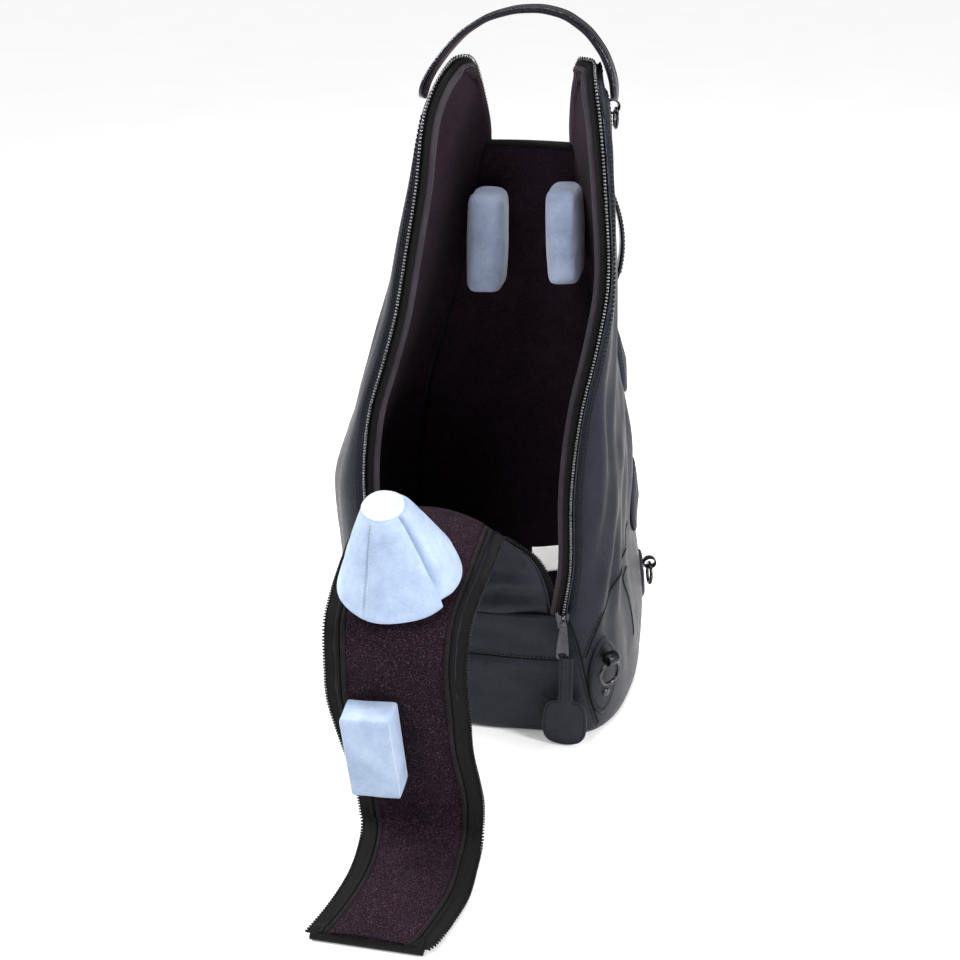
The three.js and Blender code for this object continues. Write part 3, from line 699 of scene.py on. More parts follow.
share = np.linspace(0.005, 0.995, 60)
seam_x = (
    value_at(SIDES["left"]["zip"], BUCKET_TOP) * (1 - share)
    + value_at(SIDES["right"]["zip"], BUCKET_TOP) * share
)
seam_swell = np.array([face_swell(x, front_y(BUCKET_TOP), BUCKET_TOP)
                       for x in seam_x]) * np.sin(np.pi * share) ** 0.4
seam_y = front_y(BUCKET_TOP) - 5 * np.sin(np.pi * share) - seam_swell + 1.6
front_seam = np.column_stack([seam_x, seam_y, np.full(60, BUCKET_TOP)])
forward = np.tile([0.0, -1.0, 0.0], (60, 1))
upward = np.tile([0.0, 0.0, 1.0], (60, 1))
rings = swept(front_seam, upward, forward, SEAM_PROFILE)
make("front_bucket_seam", *closed_loft(rings), BAND, "bag", "leather")
threads = Solids()
stitch_line(threads, front_seam + upward * 4.2 + forward * 1.9, forward, 4.4, 3.0, 0.4)
threads.make("front_bucket_stitches", THREAD, "bag", "leather")

sole_ring = np.concatenate([
    OUTER["right"][0][1], face_grid("back", back_y, [(0.6, 8.5)], 5)[0][::-1][1:-1],
    OUTER["left"][0][1][::-1], face_grid("zip", front_y, [(0.6, 8.5)], -5)[0][1:-1],
])
sole_centre = sole_ring.mean(0)
sole = [np.column_stack([(sole_ring[:, :2] - sole_centre[:2]) * k + sole_centre[:2],
                         np.full(len(sole_ring), h)])
        for k, h in ((0.985, 0.3), (0.985, 9.5))]
make("sole_board", *closed_loft(sole), LEATHER, "bag", "leather", smooth=False)

# ------------------------------------------------------------------ opening edges: tape, teeth, binding, roll
TOOTH_PITCH = 3.1
EDGE_BAND = [(-5.0, 2.6), (0.5, 2.2), (3.6, 3.4), (4.9, 5.6), (4.3, 8.0), (1.4, 9.6), (-4.0, 9.9),
             (-6.5, 6.0)]
EDGE_TAPE = [(-3, 1.2), (5.6, 1.5), (6.6, 1.9), (5.6, 2.4), (-3, 2.4)]


def opening_edge(side):
    """The free edge from the zip's start at the front, over the arch, and down to the back panel."""
    grid, _, _ = OUTER[side]
    front, back = grid[:, 0], grid[:, -1]
    front = front[front[:, 2] > FLAP_ROOT - 2]
    back = back[back[:, 2] > BACK_TOP - 4][::-1]
    return smooth_path(resample(np.concatenate([front[:-1], back[1:]]), 3.0), 6)


def edge_frame(path, side):
    """Directions beyond the edge and in towards the inside of the case."""
    along = tangents(path)
    inward = np.tile([-SIGN[side], 0.0, 0.0], (len(path), 1))
    inward = unit(inward - along * np.sum(inward * along, 1)[:, None])
    beyond = unit(np.cross(along, inward))
    arch = np.stack([np.zeros(len(path)), path[:, 1], path[:, 2] - 330], 1)
    sign = np.sign(np.sum(beyond * arch, 1))
    return beyond * sign[:, None], inward


def rounded(profile, rounds=2):
    """A closed outline with its corners cut round."""
    p = np.asarray(profile, float)
    for _ in range(rounds):
        after = np.roll(p, -1, axis=0)
        p = np.stack([0.75 * p + 0.25 * after, 0.25 * p + 0.75 * after], 1).reshape(-1, 2)
    return p


def sweep_piece(name, path, first, second, profile, material, body="bag", slot="leather", replaces=()):
    rings = swept(path, first, second, profile)
    points, faces = closed_loft(rings)
    make(name, points, faces, material, body, slot, replaces, grid_uv(rings))


def teeth_along(solids, path, beyond, inward, reach, depth):
    """Metal teeth gripping the edge of the tape."""
    line = resample(path, TOOTH_PITCH)
    share = np.linspace(0, 1, len(line))
    pick = np.linspace(0, 1, len(path))
    b = unit(np.stack([np.interp(share, pick, beyond[:, k]) for k in range(3)], 1))
    n = unit(np.stack([np.interp(share, pick, inward[:, k]) for k in range(3)], 1))
    t = tangents(line)
    for k in range(len(line)):
        centre = line[k] + b[k] * reach + n[k] * depth
        solids.box(centre, (b[k], t[k], n[k]), (2.0, 0.85, 1.35), 0.7)


FAR_DEPTH = 0.42  # thickness of the edge trims down the far side of the arch, as a share of the front's
EDGES = {}
for side in SIDES:
    path = opening_edge(side)
    beyond, inward = edge_frame(path, side)
    past_top = np.arange(len(path)) - int(np.argmax(path[:, 2]))
    depth = FAR_DEPTH + (1 - FAR_DEPTH) / (1 + np.exp(past_top / 3.5))
    inward = inward * depth[:, None]
    front_run = slice(0, int(np.argmax(path[:, 2])) + 9)
    EDGES[side] = (path, beyond, inward)
    sweep_piece(f"{side}_edge_piping", path, beyond, inward, circle(1.5, 10, (0.0, -0.3)), GLOSS)
    sweep_piece(f"{side}_zip_band", path, beyond, inward, rounded(EDGE_TAPE, 1), TAPE, slot="zip_tape",
                replaces=[f"{side}_zip_tape"])
    sweep_piece(f"{side}_edge_binding", path, beyond, inward, rounded(EDGE_BAND), BAND)
    ends = np.minimum(1, 0.15 + np.arange(len(path[front_run]))[::-1] / 14)[:, None]
    # Velour roll in the lighter copy of the lining velour: a painted highlight along the rolled edge.
    sweep_piece(f"{side}_velour_roll_painted_highlight",
                path[front_run] - beyond[front_run] * 1.6 + inward[front_run] * (10 + 2.4 * ends),
                beyond[front_run] * ends, inward[front_run] * ends, circle(3.3, 14), ROLL_PAINTED_HIGHLIGHT, slot="velour")
    teeth = Solids()
    teeth_along(teeth, path, beyond, inward, 6.6, 1.9)
    teeth.make(f"{side}_zip_teeth", TEETH, "bag", "gunmetal")


# ------------------------------------------------------------------ body: linings
VELOUR = 2.2  # thickness of the lining


def lining_grid(side):
    """Inside face of one side: from the velour roll round the wall to the back seam."""
    grid, normals, _ = OUTER[side]
    first = 14
    rows = []
    path, beyond, inward = EDGES[side]
    for outer, normal in zip(grid[first:], normals[first:]):
        level = unit(normal * [1, 1, 0.25])
        inner = outer - level * WALL
        rows.append(inner[2:-2])
    lining = np.array(rows)
    for i, outer in enumerate(grid[first:]):
        for end, column in ((0, 0), (-1, -1)):
            place = outer[column]
            if place[2] < (FLAP_ROOT if column == 0 else BACK_TOP):
                continue
            k = int(np.argmin(np.linalg.norm(path - place, axis=1)))
            lining[i, end] = path[k] - beyond[k] * 3.0 + inward[k] * 13.4
    return smooth_columns(lining)


def smooth_columns(grid, rounds=3):
    for _ in range(rounds):
        grid[:, 1:-1] = (grid[:, :-2] + 2 * grid[:, 1:-1] + grid[:, 2:]) / 4
    return grid


def pile_swell(x, y, z):
    return wobble(x, y, z * 0.7, 74, 9.3) * 1.6 + wobble(x, y, z, 32, 4.4) * 0.5


for side in SIDES:
    grid = lining_grid(side)
    toward = np.zeros_like(grid) + [-SIGN[side], 0, 0]
    normals = grid_normals(grid, toward)
    soft = displaced(grid, normals, pile_swell)
    sheet_piece(f"{side}_lining", soft, soft - normals * VELOUR, LINING, "velour", [f"{side}_side_lining"],
                False)

back_inside = face_grid("back", back_y, [(z, 0) for z in np.linspace(30, BACK_TOP, 66)], 5)
back_inside = back_inside + [0, -WALL + 1.5, 0]
back_soft = displaced(back_inside, np.zeros_like(back_inside) + [0, -1.0, 0], pile_swell)
sheet_piece("back_velour", back_soft, back_soft + [0, VELOUR, 0], LINING, "velour", ["back_lining"], False)
front_inside = face_grid("zip", front_y, [(z, 0) for z in np.linspace(30, FLAP_ROOT - 2, 16)],
                         -5) + [0, WALL, 0]
sheet_piece("front_velour", front_inside, front_inside - [0, VELOUR, 0], LINING, "velour", weave=False)

top_edge = back_inside[-1] + [0, 5.0, 0.5]
top_edge = resample(top_edge, 6)
level_y = np.tile([0.0, 1.0, 0.0], (len(top_edge), 1))
level_z = np.tile([0.0, 0.0, 1.0], (len(top_edge), 1))
sweep_piece("back_top_binding", top_edge, level_y, level_z,
            rounded([(-6.5, -5), (-6, 1.6), (0, 3), (6, 1.6), (6.5, -5)]), BAND)


# ------------------------------------------------------------------ front flap
# The CAD's folds, from the root to the free end: (y, z)
FOLDS = [(-93, 150), (-96.49, 249.94), (-131.95, 277.64), (-267.49, 242.59), (-289.65, 214.22),
         (-272.88, 22.5),
         (-291.17, 5.5), (-338.44, 5.5), (-385.72, 5.5), (-433, 5.5)]
# Edges of the zip's teeth by station along the flap: (station, x)
FLAP_LEFT = [(0, -122), (0.5, -123), (1, -123), (2, -123), (2.44, -123), (3.5, -118), (4, -117),
             (4.3, -116.5),
             (4.5, -110), (4.72, -101), (4.92, -95), (5.6, -90), (6.8, -83.5), (7.5, -84), (8.3, -90.5),
             (9, -100)]
FLAP_RIGHT = [(0, 71), (0.25, 66), (0.5, 58), (0.75, 45), (0.95, 31), (1.2, 22), (1.6, 19), (2.3, 20),
              (2.95, 15.5),
              (3.6, 15.5), (4, 14.5), (4.33, 17.5), (4.53, 19), (4.74, 25), (4.94, 29), (5.4, 29),
              (6.7, 30.5),
              (7.5, 30.5), (8.1, 25), (8.8, 15), (9, 9)]
DROOP_RIGHT = [(0, 0), (0.5, 2), (1, 12), (1.5, 18), (2.2, 13), (3, 4), (3.6, -4), (5, -6), (6, -3),
               (9, -2)]
DROOP_LEFT = [(0, 0), (1, 2), (1.6, 7), (2.3, 5), (3, 1), (3.6, -5), (5, -6), (6, -3), (9, -2)]
ROWS_PER_STRETCH = 16


def flap_line():
    """Stations, points and lining-side directions of the flap's middle: a smooth curve through the
    middles of the stretches."""
    folds = np.array(FOLDS, float)
    middles = (folds[:-1] + folds[1:]) / 2
    stations, points = [], []
    for t in np.linspace(0, 0.5, ROWS_PER_STRETCH // 2, endpoint=False):
        stations.append(t)
        points.append(folds[0] + (folds[1] - folds[0]) * t)
    for k in range(1, 9):
        for t in np.linspace(0, 1, ROWS_PER_STRETCH, endpoint=False):
            stations.append(k - 0.5 + t)
            points.append((1 - t) ** 2 * middles[k - 1] + 2 * t * (1 - t) * folds[k] + t * t * middles[k])
    for t in np.linspace(0.5, 1, ROWS_PER_STRETCH // 2 + 1):
        stations.append(8 + t)
        points.append(folds[8] + (folds[9] - folds[8]) * t)
    points = np.array(points)
    along = unit(np.gradient(points, axis=0))
    return np.array(stations), points, np.stack([along[:, 1], -along[:, 0]], 1)


STATIONS, MIDDLE, RISE = flap_line()


def on_flap(rows, x, height):
    """Points of the flap: x across, height above its middle on the lining side, at each station row."""
    x, height = np.broadcast_arrays(np.asarray(x, float), np.asarray(height, float))
    y = MIDDLE[rows][:, 0, None] + RISE[rows][:, 0, None] * height
    z = MIDDLE[rows][:, 1, None] + RISE[rows][:, 1, None] * height
    return np.stack([np.broadcast_to(x, y.shape), y, z], 2)


ALL_ROWS = np.arange(len(STATIONS))
EDGE_X = {"left": value_at(FLAP_LEFT, STATIONS), "right": value_at(FLAP_RIGHT, STATIONS)}
EDGE_DROOP = {"left": value_at(DROOP_LEFT, STATIONS), "right": value_at(DROOP_RIGHT, STATIONS)}


def droop(x):
    """Height lost towards the flap's edges, per row and column of x."""
    left, right = EDGE_X["left"][:, None], EDGE_X["right"][:, None]
    v = np.clip((x - left) / (right - left), 0, 1)
    return (
        EDGE_DROOP["right"][:, None] * np.clip((v - 0.4) / 0.6, 0, 1) ** 1.8
        + EDGE_DROOP["left"][:, None] * np.clip((0.6 - v) / 0.6, 0, 1) ** 1.8
    )


def flap_normals(grid):
    """Unit normals of a layer of the flap, turned to its lining side."""
    level = np.zeros(grid.shape[:2])
    return grid_normals(grid, on_flap(ALL_ROWS, level, 1.0) - on_flap(ALL_ROWS, level, 0.0))


def flap_layer(name, grid, material, slot, around=False, thickness=None, replaces=None):
    """One layer of the flap cut at the middles of its stretches."""
    shell = grid
    if not around:
        back = grid - flap_normals(grid) * thickness
        shell = np.concatenate([grid, back[:, ::-1]], 1)
    shell_points = shell.reshape(-1, 3)
    size = shell.shape[1]
    quads = grid_faces(len(shell), size, True)
    faces = outward(shell_points, quads)
    mesh_normals = vertex_normals(shell_points, faces)
    turned = faces[0] != quads[0]
    lengths = grid_uv(shell)
    for k, (*_, low, high) in enumerate(FLAP_CUTS):
        pick = ALL_ROWS[(STATIONS >= low - 1e-6) & (STATIONS <= high + 1e-6)]
        local = shell[pick].reshape(-1, 3)
        local_faces = flip_if(grid_faces(len(pick), size, True), turned)
        chosen = np.concatenate([np.arange(r * size, (r + 1) * size) for r in pick])
        if k in (0, len(FLAP_CUTS) - 1):
            end = 0 if k == 0 else len(pick) - 1
            cap = tuple(end * size + j for j in range(size))
            local_faces.append(cap if (k == 0) != turned else tuple(reversed(cap)))
        piece = make(f"{name}_{k}", local, local_faces, material, None, slot, (), lengths[chosen], True,
                     mesh_normals[chosen])
        ride_flap(piece, k)
        if replaces and k < 9:
            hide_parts(f"{replaces}_{k + 1}")


def vertex_normals(points, faces):
    normals = np.zeros_like(points)
    quads = np.array(faces)
    a, b, c, d = (points[quads[:, i]] for i in range(4))
    n = np.cross(c - a, d - b)
    for i in range(4):
        np.add.at(normals, quads[:, i], n)
    return unit(normals)


FLAP_CUTS = [("bag", "flap_1", 0, 0.5)] + [(f"flap_{k}", f"flap_{k + 1}", k - 0.5, k + 0.5)
                                           for k in range(1, 9)]
FLAP_CUTS += [("flap_9", None, 8.5, 9)]


def middle_of(station):
    """Point in metres on the straight line between folds, at a whole station and a half."""
    k = min(int(station), 8)
    a, b = np.array(FOLDS[k], float), np.array(FOLDS[k + 1], float)
    y, z = a + (b - a) * (station - k)
    return (-0.04, y * MM, z * MM)


def ride_flap(piece, k):
    body_a, body_b, low, high = FLAP_CUTS[k]
    if body_b is None:
        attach(piece, body_a)
    elif k == 0:
        middle_of(0)
        middle_of(0.3)
        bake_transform(piece)
    else:
        middle_of(low)
        middle_of(high)
        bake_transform(piece)


def flap_folds(x, y, z):
    """Wrinkles of the flap, in mm."""
    bend = math.exp(-(((z - 22) / 26) ** 2)) if y > -305 else 0.0
    return (
        wobble(x, y, z, 52, 6.6) * 1.9
        + bend * wobble(x * 0.35, y, z * 1.6, 13, 1.9) * 3.4
        + math.exp(-(((y + 322) / 30) ** 2)) * (z < 60)
        * wobble(x * 0.3, y + 0.0016 * (x + 60) ** 2, 4, 8, 3.9) * 3.6
        + wobble(x * 0.8, y * 1.2, z * 1.2, 24, 2.8) * 0.6
    )


def flap_root_folds(x, y, z):
    """Gathered cross folds where the flap leaves the body."""
    low, high = min(1.0, max(0.0, (z - 112) / 45)), min(1.0, max(0.0, (292 - z) / 50))
    arc = z * 1.0 + 0.0009 * (x - 10) ** 2
    return low * high * (wobble(x * 0.22, 11, arc * 1.15, 15,
                                7.7) * 8.0 + wobble(x * 0.4, 1, arc * 1.1, 9, 3.1) * 3.2)


def swollen(grid, amount, taper):
    """The grid moved towards its lining side by amount(point), less where taper is small."""
    shift = np.array([amount(*p) for p in grid.reshape(-1, 3)]).reshape(grid.shape[:2])
    return grid + flap_normals(grid) * (shift * taper)[..., None]


LEFT_X, RIGHT_X = EDGE_X["left"][:, None], EDGE_X["right"][:, None]
HEEL = np.clip(STATIONS[:, None] / 1.5, 0, 1)
across = np.linspace(0, 1, 41)[None, :]
taper = np.sin(np.pi * across) ** 0.5

lining_x = LEFT_X + 19.5 + (RIGHT_X - LEFT_X - 39) * across
puff = 4.2 + 3.2 * np.sin(np.pi * across) ** 0.6
lining_grid_flap = on_flap(ALL_ROWS, lining_x, puff - droop(lining_x))
# The flap's lining uses the darker copy of the velour: painted shade.
flap_layer("flap_lining", swollen(lining_grid_flap, flap_folds, taper), FLAP_LINING_PAINTED_SHADE, "velour",
           thickness=5.0)

leather_x = LEFT_X + 7 + (RIGHT_X - LEFT_X - 14) * across
end_curl = 4.6 * (1 - np.sin(np.pi * across) ** 0.22)
hollow = -5.4 + end_curl - 5.0 * np.sin(np.pi * across) * (1 - HEEL)
floor_gap = np.where(STATIONS[:, None] > 5.2, 0.35, 0.0)
leather_flap = on_flap(ALL_ROWS, leather_x,
                       hollow + floor_gap - droop(leather_x) * np.where(STATIONS[:, None] > 5.2, 0.3, 1))
leather_flap = swollen(leather_flap, lambda x, y,
                       z: flap_root_folds(x, y, z) + 0.5 * flap_folds(x, y, z) * (z > 30), taper)
leather_flap[..., 2] = np.maximum(leather_flap[..., 2], 0.4)
flap_layer("flap_leather", leather_flap, LEATHER, "leather", thickness=-4.5, replaces="flap_section")


def edge_layer(name, side, profile, material, slot):
    """A strip that runs along one edge of the flap: profile is (in from the teeth, height)."""
    profile = np.asarray(profile, float)
    inwards = 1 if side == "left" else -1
    x = EDGE_X[side][:, None] + inwards * profile[None, :, 0]
    grid = on_flap(
        ALL_ROWS,
        x,
        profile[None, :, 1] - EDGE_DROOP[side][:, None] * np.clip(1 - profile[None, :, 0] / 75, 0, 1),
    )
    flap_layer(name, grid, material, slot, around=True)


for side in SIDES:
    edge_layer(f"{side}_flap_tape", side, rounded([(0.3, 0.2), (0.3, 1.0), (13, 2.2), (13, 1.2)], 1), TAPE,
               "zip_tape")
    edge_layer(f"{side}_flap_binding", side,
               rounded([(9.5, 0.4), (10.5, 2.8), (12.5, 4.0), (15, 3.6), (16, 1.0)]), BAND, "leather")
    edge_layer(f"{side}_flap_roll", side, circle(2.3, 12, (18.2, 3.4)), FLAP_ROLL, "velour")
    edge_layer(f"{side}_flap_piping", side, circle(1.3, 10, (7.2, -0.6)), GLOSS, "leather")
    for k, (*_, low, high) in enumerate(FLAP_CUTS):
        edge = on_flap(ALL_ROWS, EDGE_X[side][:, None], 0.6 - EDGE_DROOP[side][:, None])[:, 0]
        keep = (STATIONS >= low - 1e-6) & (STATIONS <= high + 1e-6)
        line = resample(edge[keep], TOOTH_PITCH)
        rise = np.zeros((len(line), 3))
        share = np.linspace(0, 1, len(line))
        pick = np.linspace(0, 1, keep.sum())
        rise[:, 1] = np.interp(share, pick, RISE[keep][:, 0])
        rise[:, 2] = np.interp(share, pick, RISE[keep][:, 1])
        along = tangents(line)
        beyond = unit(np.cross(along, rise))
        # The flap's teeth use the darker copy of the teeth metal: painted shade.
        teeth = Solids()
        for p, b, t, n in zip(line[:-1], beyond, along, rise):
            teeth.box(p + t * TOOTH_PITCH / 2, (b, t, n), (1.5, 0.9, 1.3), 0.7)
        ride_flap(teeth.make(f"{side}_flap_teeth_{k}", FLAP_TEETH_PAINTED_SHADE, None, "gunmetal"), k)

tip = on_flap(ALL_ROWS[-1:], np.linspace(EDGE_X["left"][-1] + 4, EDGE_X["right"][-1] - 4, 40)[None, :],
              0.0)[0]
tip_out = np.tile([0.0, -1.0, 0.0], (len(tip), 1))
tip_up = np.tile([0.0, 0.0, 1.0], (len(tip), 1))
hem = [(-9, -4.6), (0.5, -4.6), (3.2, -2), (3.6, 1.5), (0.5, 4.2), (-9, 5.4), (-12, 1)]
sweep_piece("flap_end_hem", tip, tip_out, tip_up, rounded(hem), BAND, "flap_9")

# ------------------------------------------------------------------ seams sewn into the leather
def skin(side, u, z):
    """Point and outward direction on the creased leather of a side wall."""
    point, out_dir, _ = wall_point(side, u, z)
    return point + out_dir * leather_swell(side)(*point), out_dir


FRONT_SEAM = [(0.03, 130), (0.05, 118), (0.075, 96), (0.10, 72), (0.13, 48), (0.16, 28), (0.19, 14)]
V_SEAM = [(0.50, 214), (0.46, 196), (0.39, 187), (0.32, 176), (0.255, 163), (0.19, 148), (0.135, 123),
          (0.095, 100)]
BACK_SEAM = [(0.90, z) for z in range(20, 660, 40)]
SEAMS = {  # side: name, stitches either side, (u, z) along the seam
    "right": [
        ("front", (3.4,), [(0.012, 143), *FRONT_SEAM]),
        ("v", (3.2,), V_SEAM),
        ("pocket", (), [(0.44, 176), (0.41, 166), (0.42, 155), (0.44, 140), (0.46, 116), (0.475, 96),
                        (0.48, 84)]),
        ("back", (3.4, -3.4), BACK_SEAM),
    ],
    "left": [
        ("front", (3.4,), FRONT_SEAM),
        ("v", (3.2,), V_SEAM),
        ("back", (3.4, -3.4), BACK_SEAM),
    ],
}
for side, seams in SEAMS.items():
    threads = Solids()
    for name, offsets, places in seams:
        rough_line = np.array([(*place, 0) for place in places], float)
        dense = np.array([np.interp(np.linspace(0, 1, len(places) * 12), np.linspace(0, 1, len(places)),
                                    rough_line[:, k])
                          for k in range(2)]).T
        dense = smooth_path(np.column_stack([dense * [400, 1], np.zeros(len(dense))]), 10)[:, :2] / [400, 1]
        path, outs = zip(*[skin(side, u, z) for u, z in dense])
        path, outs = np.array(path), np.array(outs)
        along = tangents(path)
        beside = unit(np.cross(along, outs))
        rings = swept(path, beside, outs, rounded(SEAM_PROFILE, 1))
        make(f"{side}_{name}_seam", *closed_loft(rings), BAND, "bag", "leather")
        for offset in offsets:
            stitch_line(threads, path + beside * offset + outs * 0.2, outs, 4.4, 3.0, 0.4)
    for offset in (5.0, 9.0):  # rows beside the zip, down the front edge of the leather
        rows = []
        for z in np.linspace(FLAP_ROOT + 6, 640, 190):
            step = wall_point(side, 0.02, z)[0] - wall_point(side, 0.0, z)[0]
            share = 0.02 * offset / max(np.linalg.norm(step), 1e-6)
            rows.append(skin(side, min(share, 0.12), z))
        stitch_line(threads, [p + n * 0.15 for p, n in rows], [n for _, n in rows], 4.4, 3.0, 0.36)
    threads.make(f"{side}_wall_stitches", THREAD, "bag", "leather")


# ------------------------------------------------------------------ bell cone and key block
def stretch_frame(k, forward, x):
    """Origin on the lining side of stretch k, and its directions across, along and out."""
    a, b = np.array(FOLDS[k], float), np.array(FOLDS[k + 1], float)
    along = (b - a) / np.linalg.norm(b - a)
    out = np.array([0, along[1], -along[0]])
    along = np.array([0, *along])
    origin = np.array([x, *a]) + along * forward + out * 6.0
    return origin, np.array([1.0, 0, 0]), along, out


CONE_BASE, CONE_TOP, CONE_HEIGHT = 56.5, 19.0, 86.0
CONE_OVAL = 1.12  # the base is a little longer down the flap than across it
CONE_LEAN = -8.0  # sideways, from base to top
CONE_SEAM, CONE_SLIT = math.radians(108), math.radians(33)


def cone_turns():
    """Angles round the cone, closer together at its seam and at its slit."""
    even = np.arange(108) * 2 * math.pi / 108
    close = np.linspace(-0.09, 0.09, 19)
    turns = np.concatenate([even, CONE_SEAM + close, CONE_SLIT + close])
    return np.unique(np.round(turns, 4))


def cone_radius(turn, r, h, share):
    """Radius of the stuffed cover: sewn seam, overlapping slit, slack waves and small lumps."""
    body = min(1.0, share * 5) * min(1.0, max(0.0, (1 - share) * 10))
    from_seam = np.angle(np.exp(1j * (turn - CONE_SEAM))) * r
    from_slit = np.angle(np.exp(1j * (turn - CONE_SLIT))) * r
    waves = 1 + (0.014 * np.sin(3 * turn + 0.7) + 0.008 * np.sin(7 * turn + 2.1)) * (1 - share)
    seam = -1.3 * np.exp(-((from_seam / 1.1) ** 2)) + 0.7 * np.exp(-((from_seam / 6) ** 2))
    over = np.where(from_slit >= 0, 3.0 * np.exp(-((from_slit / 22) ** 2)),
                    3.0 - 13.0 * np.exp(-((from_slit / (4 + 5 * (1 - share))) ** 2)))
    rough = np.array([wobble(r * math.cos(a), r * math.sin(a), h, 17, 5.5) for a in turn])
    return np.maximum(r * waves + (seam + over + 0.7 * rough) * body, 0.4)


def cone_cover():
    origin, across_dir, along_dir, out_dir = stretch_frame(2, 107, -58)
    along_dir = along_dir * CONE_OVAL
    turn = cone_turns()
    profile = [(0.4, CONE_BASE - 6), (0.9, CONE_BASE - 2.6), (2.6, CONE_BASE - 0.7), (5.0, CONE_BASE)]
    for t in np.linspace(0.03, 1, 40):
        belly = 1.0 * math.sin(math.pi * t)
        profile.append((5.0 + (CONE_HEIGHT - 5.8) * t, CONE_BASE + (CONE_TOP - CONE_BASE) * t + belly))
    profile += [(CONE_HEIGHT - 0.3, CONE_TOP - 0.5), (CONE_HEIGHT - 0.2, CONE_TOP - 1.6)]
    rings = []
    for h, r in profile:
        radius = cone_radius(turn, r, h, h / CONE_HEIGHT)
        behind_slit = np.angle(np.exp(1j * (turn - CONE_SLIT)))
        lifted = 8.5 * (behind_slit < 0) * np.exp(behind_slit / 0.55) * (1 - h / CONE_HEIGHT) ** 1.5
        rings.append(
            origin
            + out_dir * (h + 1.0 + lifted)[:, None]
            + across_dir * CONE_LEAN * h / CONE_HEIGHT
            + across_dir * (radius * np.cos(turn))[:, None]
            + along_dir * (radius * np.sin(turn))[:, None]
        )
    cover = make("bell_cone_cover", *closed_loft(rings), PLUSH, "flap_3", "plush",
                 ["bell_cone", "cone_fastener"])
    lid = []
    for r, h in ((0.93, -1.5), (0.99, -0.4), (1.0, 0.5), (0.975, 1.0), (0.9, 1.3), (0.7, 1.7), (0.4, 2.0),
                 (0.05, 2.1)):
        wave = r * CONE_TOP * (1 + 0.02 * np.sin(2 * turn + 1) + 0.012 * np.sin(5 * turn))
        lid.append(
            origin
            + out_dir * (CONE_HEIGHT + 1.0 + h)
            + across_dir * CONE_LEAN
            + across_dir * (wave * np.cos(turn))[:, None]
            + along_dir * (wave * np.sin(turn))[:, None]
        )
    make("bell_cone_lid", *closed_loft(lid), PALE_PLUSH, "flap_3", "plush")
    stitches = Solids()
    for angle, sink in ((CONE_SEAM - 0.045, 0.5), (CONE_SEAM + 0.045, 0.5)):
        run, normal = [], []
        for t in np.linspace(0.08, 0.97, 40):
            r = CONE_BASE + (CONE_TOP - CONE_BASE) * t
            h = 5.0 + (CONE_HEIGHT - 5.8) * t
            radial = across_dir * math.cos(angle) + along_dir * math.sin(angle)
            radius = cone_radius(np.array([angle]), r + math.sin(math.pi * t), h, h / CONE_HEIGHT)[0]
            run.append(
                origin
                + out_dir * (h + 1.0)
                + across_dir * CONE_LEAN * h / CONE_HEIGHT
                + radial * (radius + 0.1)
            )
            normal.append(radial)
        stitch_line(stitches, run, normal, 3.4, 1.5, 0.28)
    stitches.make("bell_cone_stitches", PALE_PLUSH, "flap_3", "plush")


cone_cover()


def rounded_box(half_sizes, steps, roundness, swell):
    """Points and faces of a stuffed block centred on the origin, with rounded edges and swollen faces."""
    points, faces, index = [], [], {}
    n = steps

    def at(i, j, k):
        key = (i, j, k)
        if key not in index:
            raw = np.array([2 * i / n - 1, 2 * j / n - 1, 2 * k / n - 1])
            p = np.sin(raw * math.pi / 2) * 0.35 + raw * 0.65
            core = np.clip(p * half_sizes, -(half_sizes - roundness), half_sizes - roundness)
            gap = p * half_sizes - core
            length = np.linalg.norm(gap)
            q = core + (gap / length * roundness if length > 1e-9 else gap)
            bulge = (1 - (q / half_sizes) ** 2).clip(0, 1)
            q = q + np.array([np.sign(p[0]) * bulge[1] * bulge[2] * (abs(p[0]) > 0.98),
                              np.sign(p[1]) * bulge[0] * bulge[2] * (abs(p[1]) > 0.98),
                              np.sign(p[2]) * bulge[0] * bulge[1] * (abs(p[2]) > 0.98)]) * swell
            index[key] = len(points)
            points.append(q)
        return index[key]

    for axis in range(3):
        for end in (0, n):
            for a in range(n):
                for b in range(n):
                    corner = []
                    for da, db in ((0, 0), (1, 0), (1, 1), (0, 1)):
                        ijk = [a + da, b + db]
                        ijk.insert(axis, end)
                        corner.append(at(*ijk))
                    flipped = (end == 0) != (axis == 1)
                    faces.append(tuple(reversed(corner)) if flipped else tuple(corner))
    return np.array(points), faces


BLOCK_HALF = np.array([23.5, 45.5, 14.8])
points, faces = rounded_box(BLOCK_HALF, 26, 2.4, 1.6)
origin, across_dir, along_dir, out_dir = stretch_frame(4, 98, -69)
origin = origin + out_dir * (BLOCK_HALF[2] + 4.6)
basis = np.stack([across_dir, along_dir, out_dir])
lumps = np.array([wobble(*(p + 40), 23, 3.3) for p in points])
points = points * (1 + 0.018 * lumps)[:, None]
turned_in = math.radians(-4)
spin = np.array([[math.cos(turned_in), math.sin(turned_in), 0],
                 [-math.sin(turned_in), math.cos(turned_in), 0], [0, 0, 1]])
block_cover = make("key_block_cover", origin + points @ spin @ basis, outward(points, faces), PLUSH,
                   "flap_5", "plush",
     ["key_block", "block_fastener"])
edges = Solids()
for sx in (-1, 1):
    for sz in (-1, 1):
        corner = np.array([[sx * (BLOCK_HALF[0] - 0.6), y, sz * (BLOCK_HALF[2] - 0.6)]
                           for y in np.linspace(-43, 43, 30)])
        path = origin + corner @ spin @ basis
        rings = swept(path, np.tile(across_dir, (30, 1)), np.tile(out_dir, (30, 1)), circle(0.55, 8))
        edges.add(*closed_loft(rings))
edges.make("key_block_seams", PALE_PLUSH, "flap_5", "plush")


